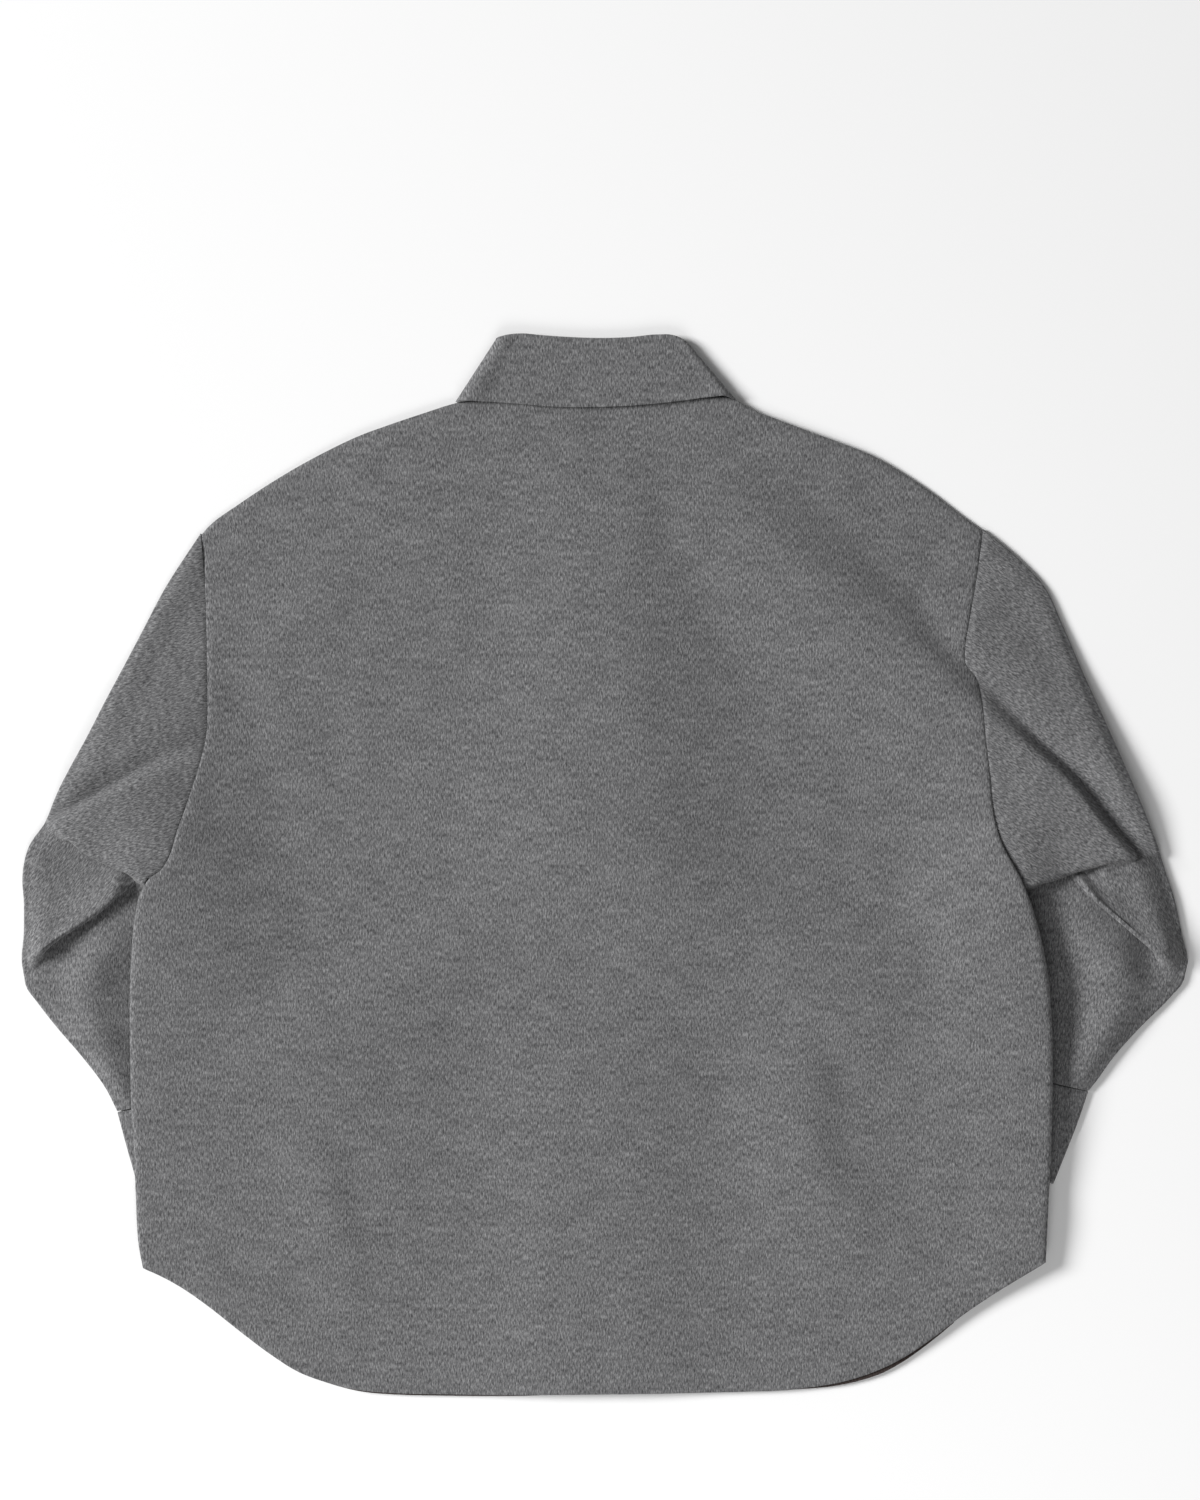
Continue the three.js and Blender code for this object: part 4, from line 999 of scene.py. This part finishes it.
# %% Rows of the collar
# Columns: roll line, outer edge, seam at the neck, height of the fall, height of the stand.
COLLAR_ROWS = [
    ((-9, 317), (-55, 250), (-9, 286), 0.9, 3.1), ((-40, 341), (-80, 284), (-42, 306), 0.9, 3.1),
    ((-64, 366), (-97, 316), (-72, 326), 0.9, 3.1), ((-76, 384), (-106, 340.5), (-94, 342), 0.9, 3.1),
    ((-79.5, 388), (-109.6, 341.2), (-95, 345), 4.1, 4.1),
    ((-75.5, 389.4), (-106, 341.8), (-93.5, 346), 7.3, 5.1),
    ((-62, 391.2), (-85, 341.2), (-78, 347), 7.3, 5.1), ((-48, 390), (-62.9, 339.7), (-58, 349), 7.3, 5.1),
    ((-25.9, 388.5), (-33.3, 337.4), (-32, 350.5), 7.3, 5.1),
    ((-3.7, 387.8), (-5.9, 337.4), (-6, 351), 7.3, 5.1),
    ((18.5, 388.5), (25.9, 338.9), (20, 350.5), 7.3, 5.1), ((38, 390.4), (55.5, 341.9), (46, 349), 7.3, 5.1),
    ((50, 390), (77.7, 344.8), (66, 347), 7.3, 5.1), ((58, 386.5), (91, 345.4), (80, 346.5), 7.3, 5.1),
    ((64, 379), (96, 342.4), (82, 345.5), 4.1, 4.1), ((58, 377), (92, 340), (80, 342), 0.9, 3.1),
    ((46, 364), (83, 316), (58, 326), 0.9, 3.1), ((22, 341), (66, 284), (28, 306), 0.9, 3.1),
    ((-4, 317), (41, 250), (-4, 286), 0.9, 3.1),
]
ROLL_TURN = 1.6
STAND_GAP = 1.6
SIDE_TURN = {"rows": (4, 14), "inside": 8, "softer": 0.3, "gap": 6.5, "roll": 0.3}
FALL_SHARES = (0.06, 0.12, 0.25, 0.5, 0.75, 0.9, 1)
FALL_LIFT = 2.2  # the outer edge of the fall stands a little off the back
COLLAR_STEPS = 8
PROFILE_STEPS = 4


def rows_from_turn(i):
    return min(abs(i - row) for row in SIDE_TURN["rows"])


def fall_profile(i, row):
    """Points from inside the roll, over it and down to the outer edge."""
    roll, edge, _, fall, stand = row
    roll, edge = np.array(roll, float), np.array(edge, float)
    way = (edge - roll) / np.linalg.norm(edge - roll)
    inside = roll + way * (SIDE_TURN["roll"] if rows_from_turn(i) <= 1 else ROLL_TURN)
    if rows_from_turn(i) == 0:
        inside[0] += math.copysign(LAYER, CENTRE_X - roll[0])
    turn = roll + way * ROLL_TURN
    points = [(*inside, stand), (*roll, (fall + stand) / 2), (*turn, fall)]
    lift = FALL_LIFT if fall > stand + WALL else 0
    return points + [(*(roll + f * (edge - roll)), fall + lift * f * f) for f in FALL_SHARES]


profiles = np.array([fall_profile(i, row) for i, row in enumerate(COLLAR_ROWS)])
profiles = smooth_through(profiles, COLLAR_STEPS)
profiles = np.swapaxes(smooth_through(np.swapaxes(profiles, 0, 1), PROFILE_STEPS), 0, 1)
profiles[..., 2] = np.maximum(profiles[..., 2], FLOOR_LAYER)
collar = cloth("fall_of_collar", profiles, profiles[..., :2], WOOL)
finish_piece(collar, "collar_fall")


# %% The stand
def stand_profile(i, row):
    roll, edge, neck, _, stand = row
    roll, edge, neck = (np.array(p, float) for p in (roll, edge, neck))
    near = rows_from_turn(i) <= 1
    gap = ROLL_TURN + (SIDE_TURN["gap"] if near else STAND_GAP)
    top = roll + (edge - roll) * gap / np.linalg.norm(edge - roll)
    inside = SIDE_TURN["inside"] * (1 - SIDE_TURN["softer"] * rows_from_turn(i)) if near else 0
    shift = np.array([math.copysign(inside, CENTRE_X - roll[0]), 0])
    return [(*(neck + f * (top - neck) + shift), stand) for f in (0, 0.25, 0.5, 0.75, 1)]


stand = smooth_through([stand_profile(i, row) for i, row in enumerate(COLLAR_ROWS)], COLLAR_STEPS)
stand_piece = cloth("stand_of_collar", stand, stand[..., :2], WOOL)
finish_piece(stand_piece, "collar_stand")

# %% [markdown]
# ## Buttons
# Six buttons close the fronts. They lie under the lap, so only a look from below shows them. Each is
# a plain disc of dark resin, and the CAD part's own solid stays, with a mottled finish.

# %% Button material
def button_material():
    material, tree, shader = new_material("button_resin", {"Roughness": 0.38})
    place = tree.nodes.new("ShaderNodeTexCoord")
    noise = node(tree, "ShaderNodeTexNoise", Scale=260.0, Detail=4.0)
    ramp = tree.nodes.new("ShaderNodeValToRGB")
    ramp.color_ramp.elements[0].color = (0.012, 0.011, 0.010, 1)
    ramp.color_ramp.elements[1].color = (0.055, 0.050, 0.047, 1)
    tree.links.new(place.outputs["Object"], noise.inputs["Vector"])
    tree.links.new(noise.outputs["Fac"], ramp.inputs["Fac"])
    tree.links.new(ramp.outputs["Color"], shader.inputs["Base Color"])
    return material


BUTTON_RESIN = button_material()
buttons = [cad_node for name, cad_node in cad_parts.items() if name.startswith("button")]
for button in buttons:
    for slot in button.material_slots:
        slot.material = BUTTON_RESIN
print("buttons with a new finish:", len(buttons))

# %% [markdown]
# ## The studio
# The photograph is taken from straight above, with a long lens, on white. A large pale floor, an even
# white sky, a big soft lamp far off on the left and a weak one below the hem give the same calm light.

# %% Floor, light and camera
PHOTO_HEIGHT = 1.110  # metres of the table that the picture's long side takes in
LENS = 100.0
SENSOR = 36.0
AIM = (-0.0036, 0.0848)
FLOOR = {"half": 6, "below": 0.0005}  # metres
FLOOR_PAINT = {"Base Color": (0.9, 0.9, 0.9, 1), "Roughness": 0.9}
LAMPS = [
    # name, place, diameter, power
    ("key", (-7.5, 1.6, 4.8), 3.6, 1080),
    ("low", (0, -1.7, 1.7), 1.4, 17),
]
SKY = 0.21


def floor_piece():
    mesh = bmesh.new()
    bmesh.ops.create_grid(mesh, x_segments=1, y_segments=1, size=FLOOR["half"])
    data = bpy.data.meshes.new("floor")
    mesh.to_mesh(data)
    mesh.free()
    data.transform(Matrix.Translation((0, 0, -FLOOR["below"])))
    paint, _, _ = new_material("pale_floor", FLOOR_PAINT)
    data.materials.append(paint)
    floor = bpy.data.objects.new("floor", data)
    bpy.context.scene.collection.objects.link(floor)


def lamp(name, place, size, power):
    """A round soft lamp that shines at the middle of the garment."""
    data = bpy.data.lights.new(name, "AREA")
    data.shape = "DISK"
    data.size = size
    data.energy = power
    made = bpy.data.objects.new(name, data)
    made.location = place
    way = -made.location
    made.rotation_euler = way.to_track_quat("-Z", "Y").to_euler()
    bpy.context.scene.collection.objects.link(made)


def sky(strength):
    world = bpy.data.worlds.new("studio")
    world.use_nodes = True
    world.node_tree.nodes["Background"].inputs["Color"].default_value = (1, 1, 1, 1)
    world.node_tree.nodes["Background"].inputs["Strength"].default_value = strength
    bpy.context.scene.world = world


def camera():
    data = bpy.data.cameras.new("camera")
    data.lens = LENS
    data.sensor_width = SENSOR
    made = bpy.data.objects.new("camera", data)
    made.location = (*AIM, PHOTO_HEIGHT * LENS / SENSOR)
    bpy.context.scene.collection.objects.link(made)
    bpy.context.scene.camera = made


floor_piece()
for lamp_row in LAMPS:
    lamp(*lamp_row)
sky(SKY)
camera()
bpy.context.scene.view_settings.view_transform = "Standard"
print("lamps:", len(LAMPS), "camera height:", bpy.context.scene.camera.location.z)
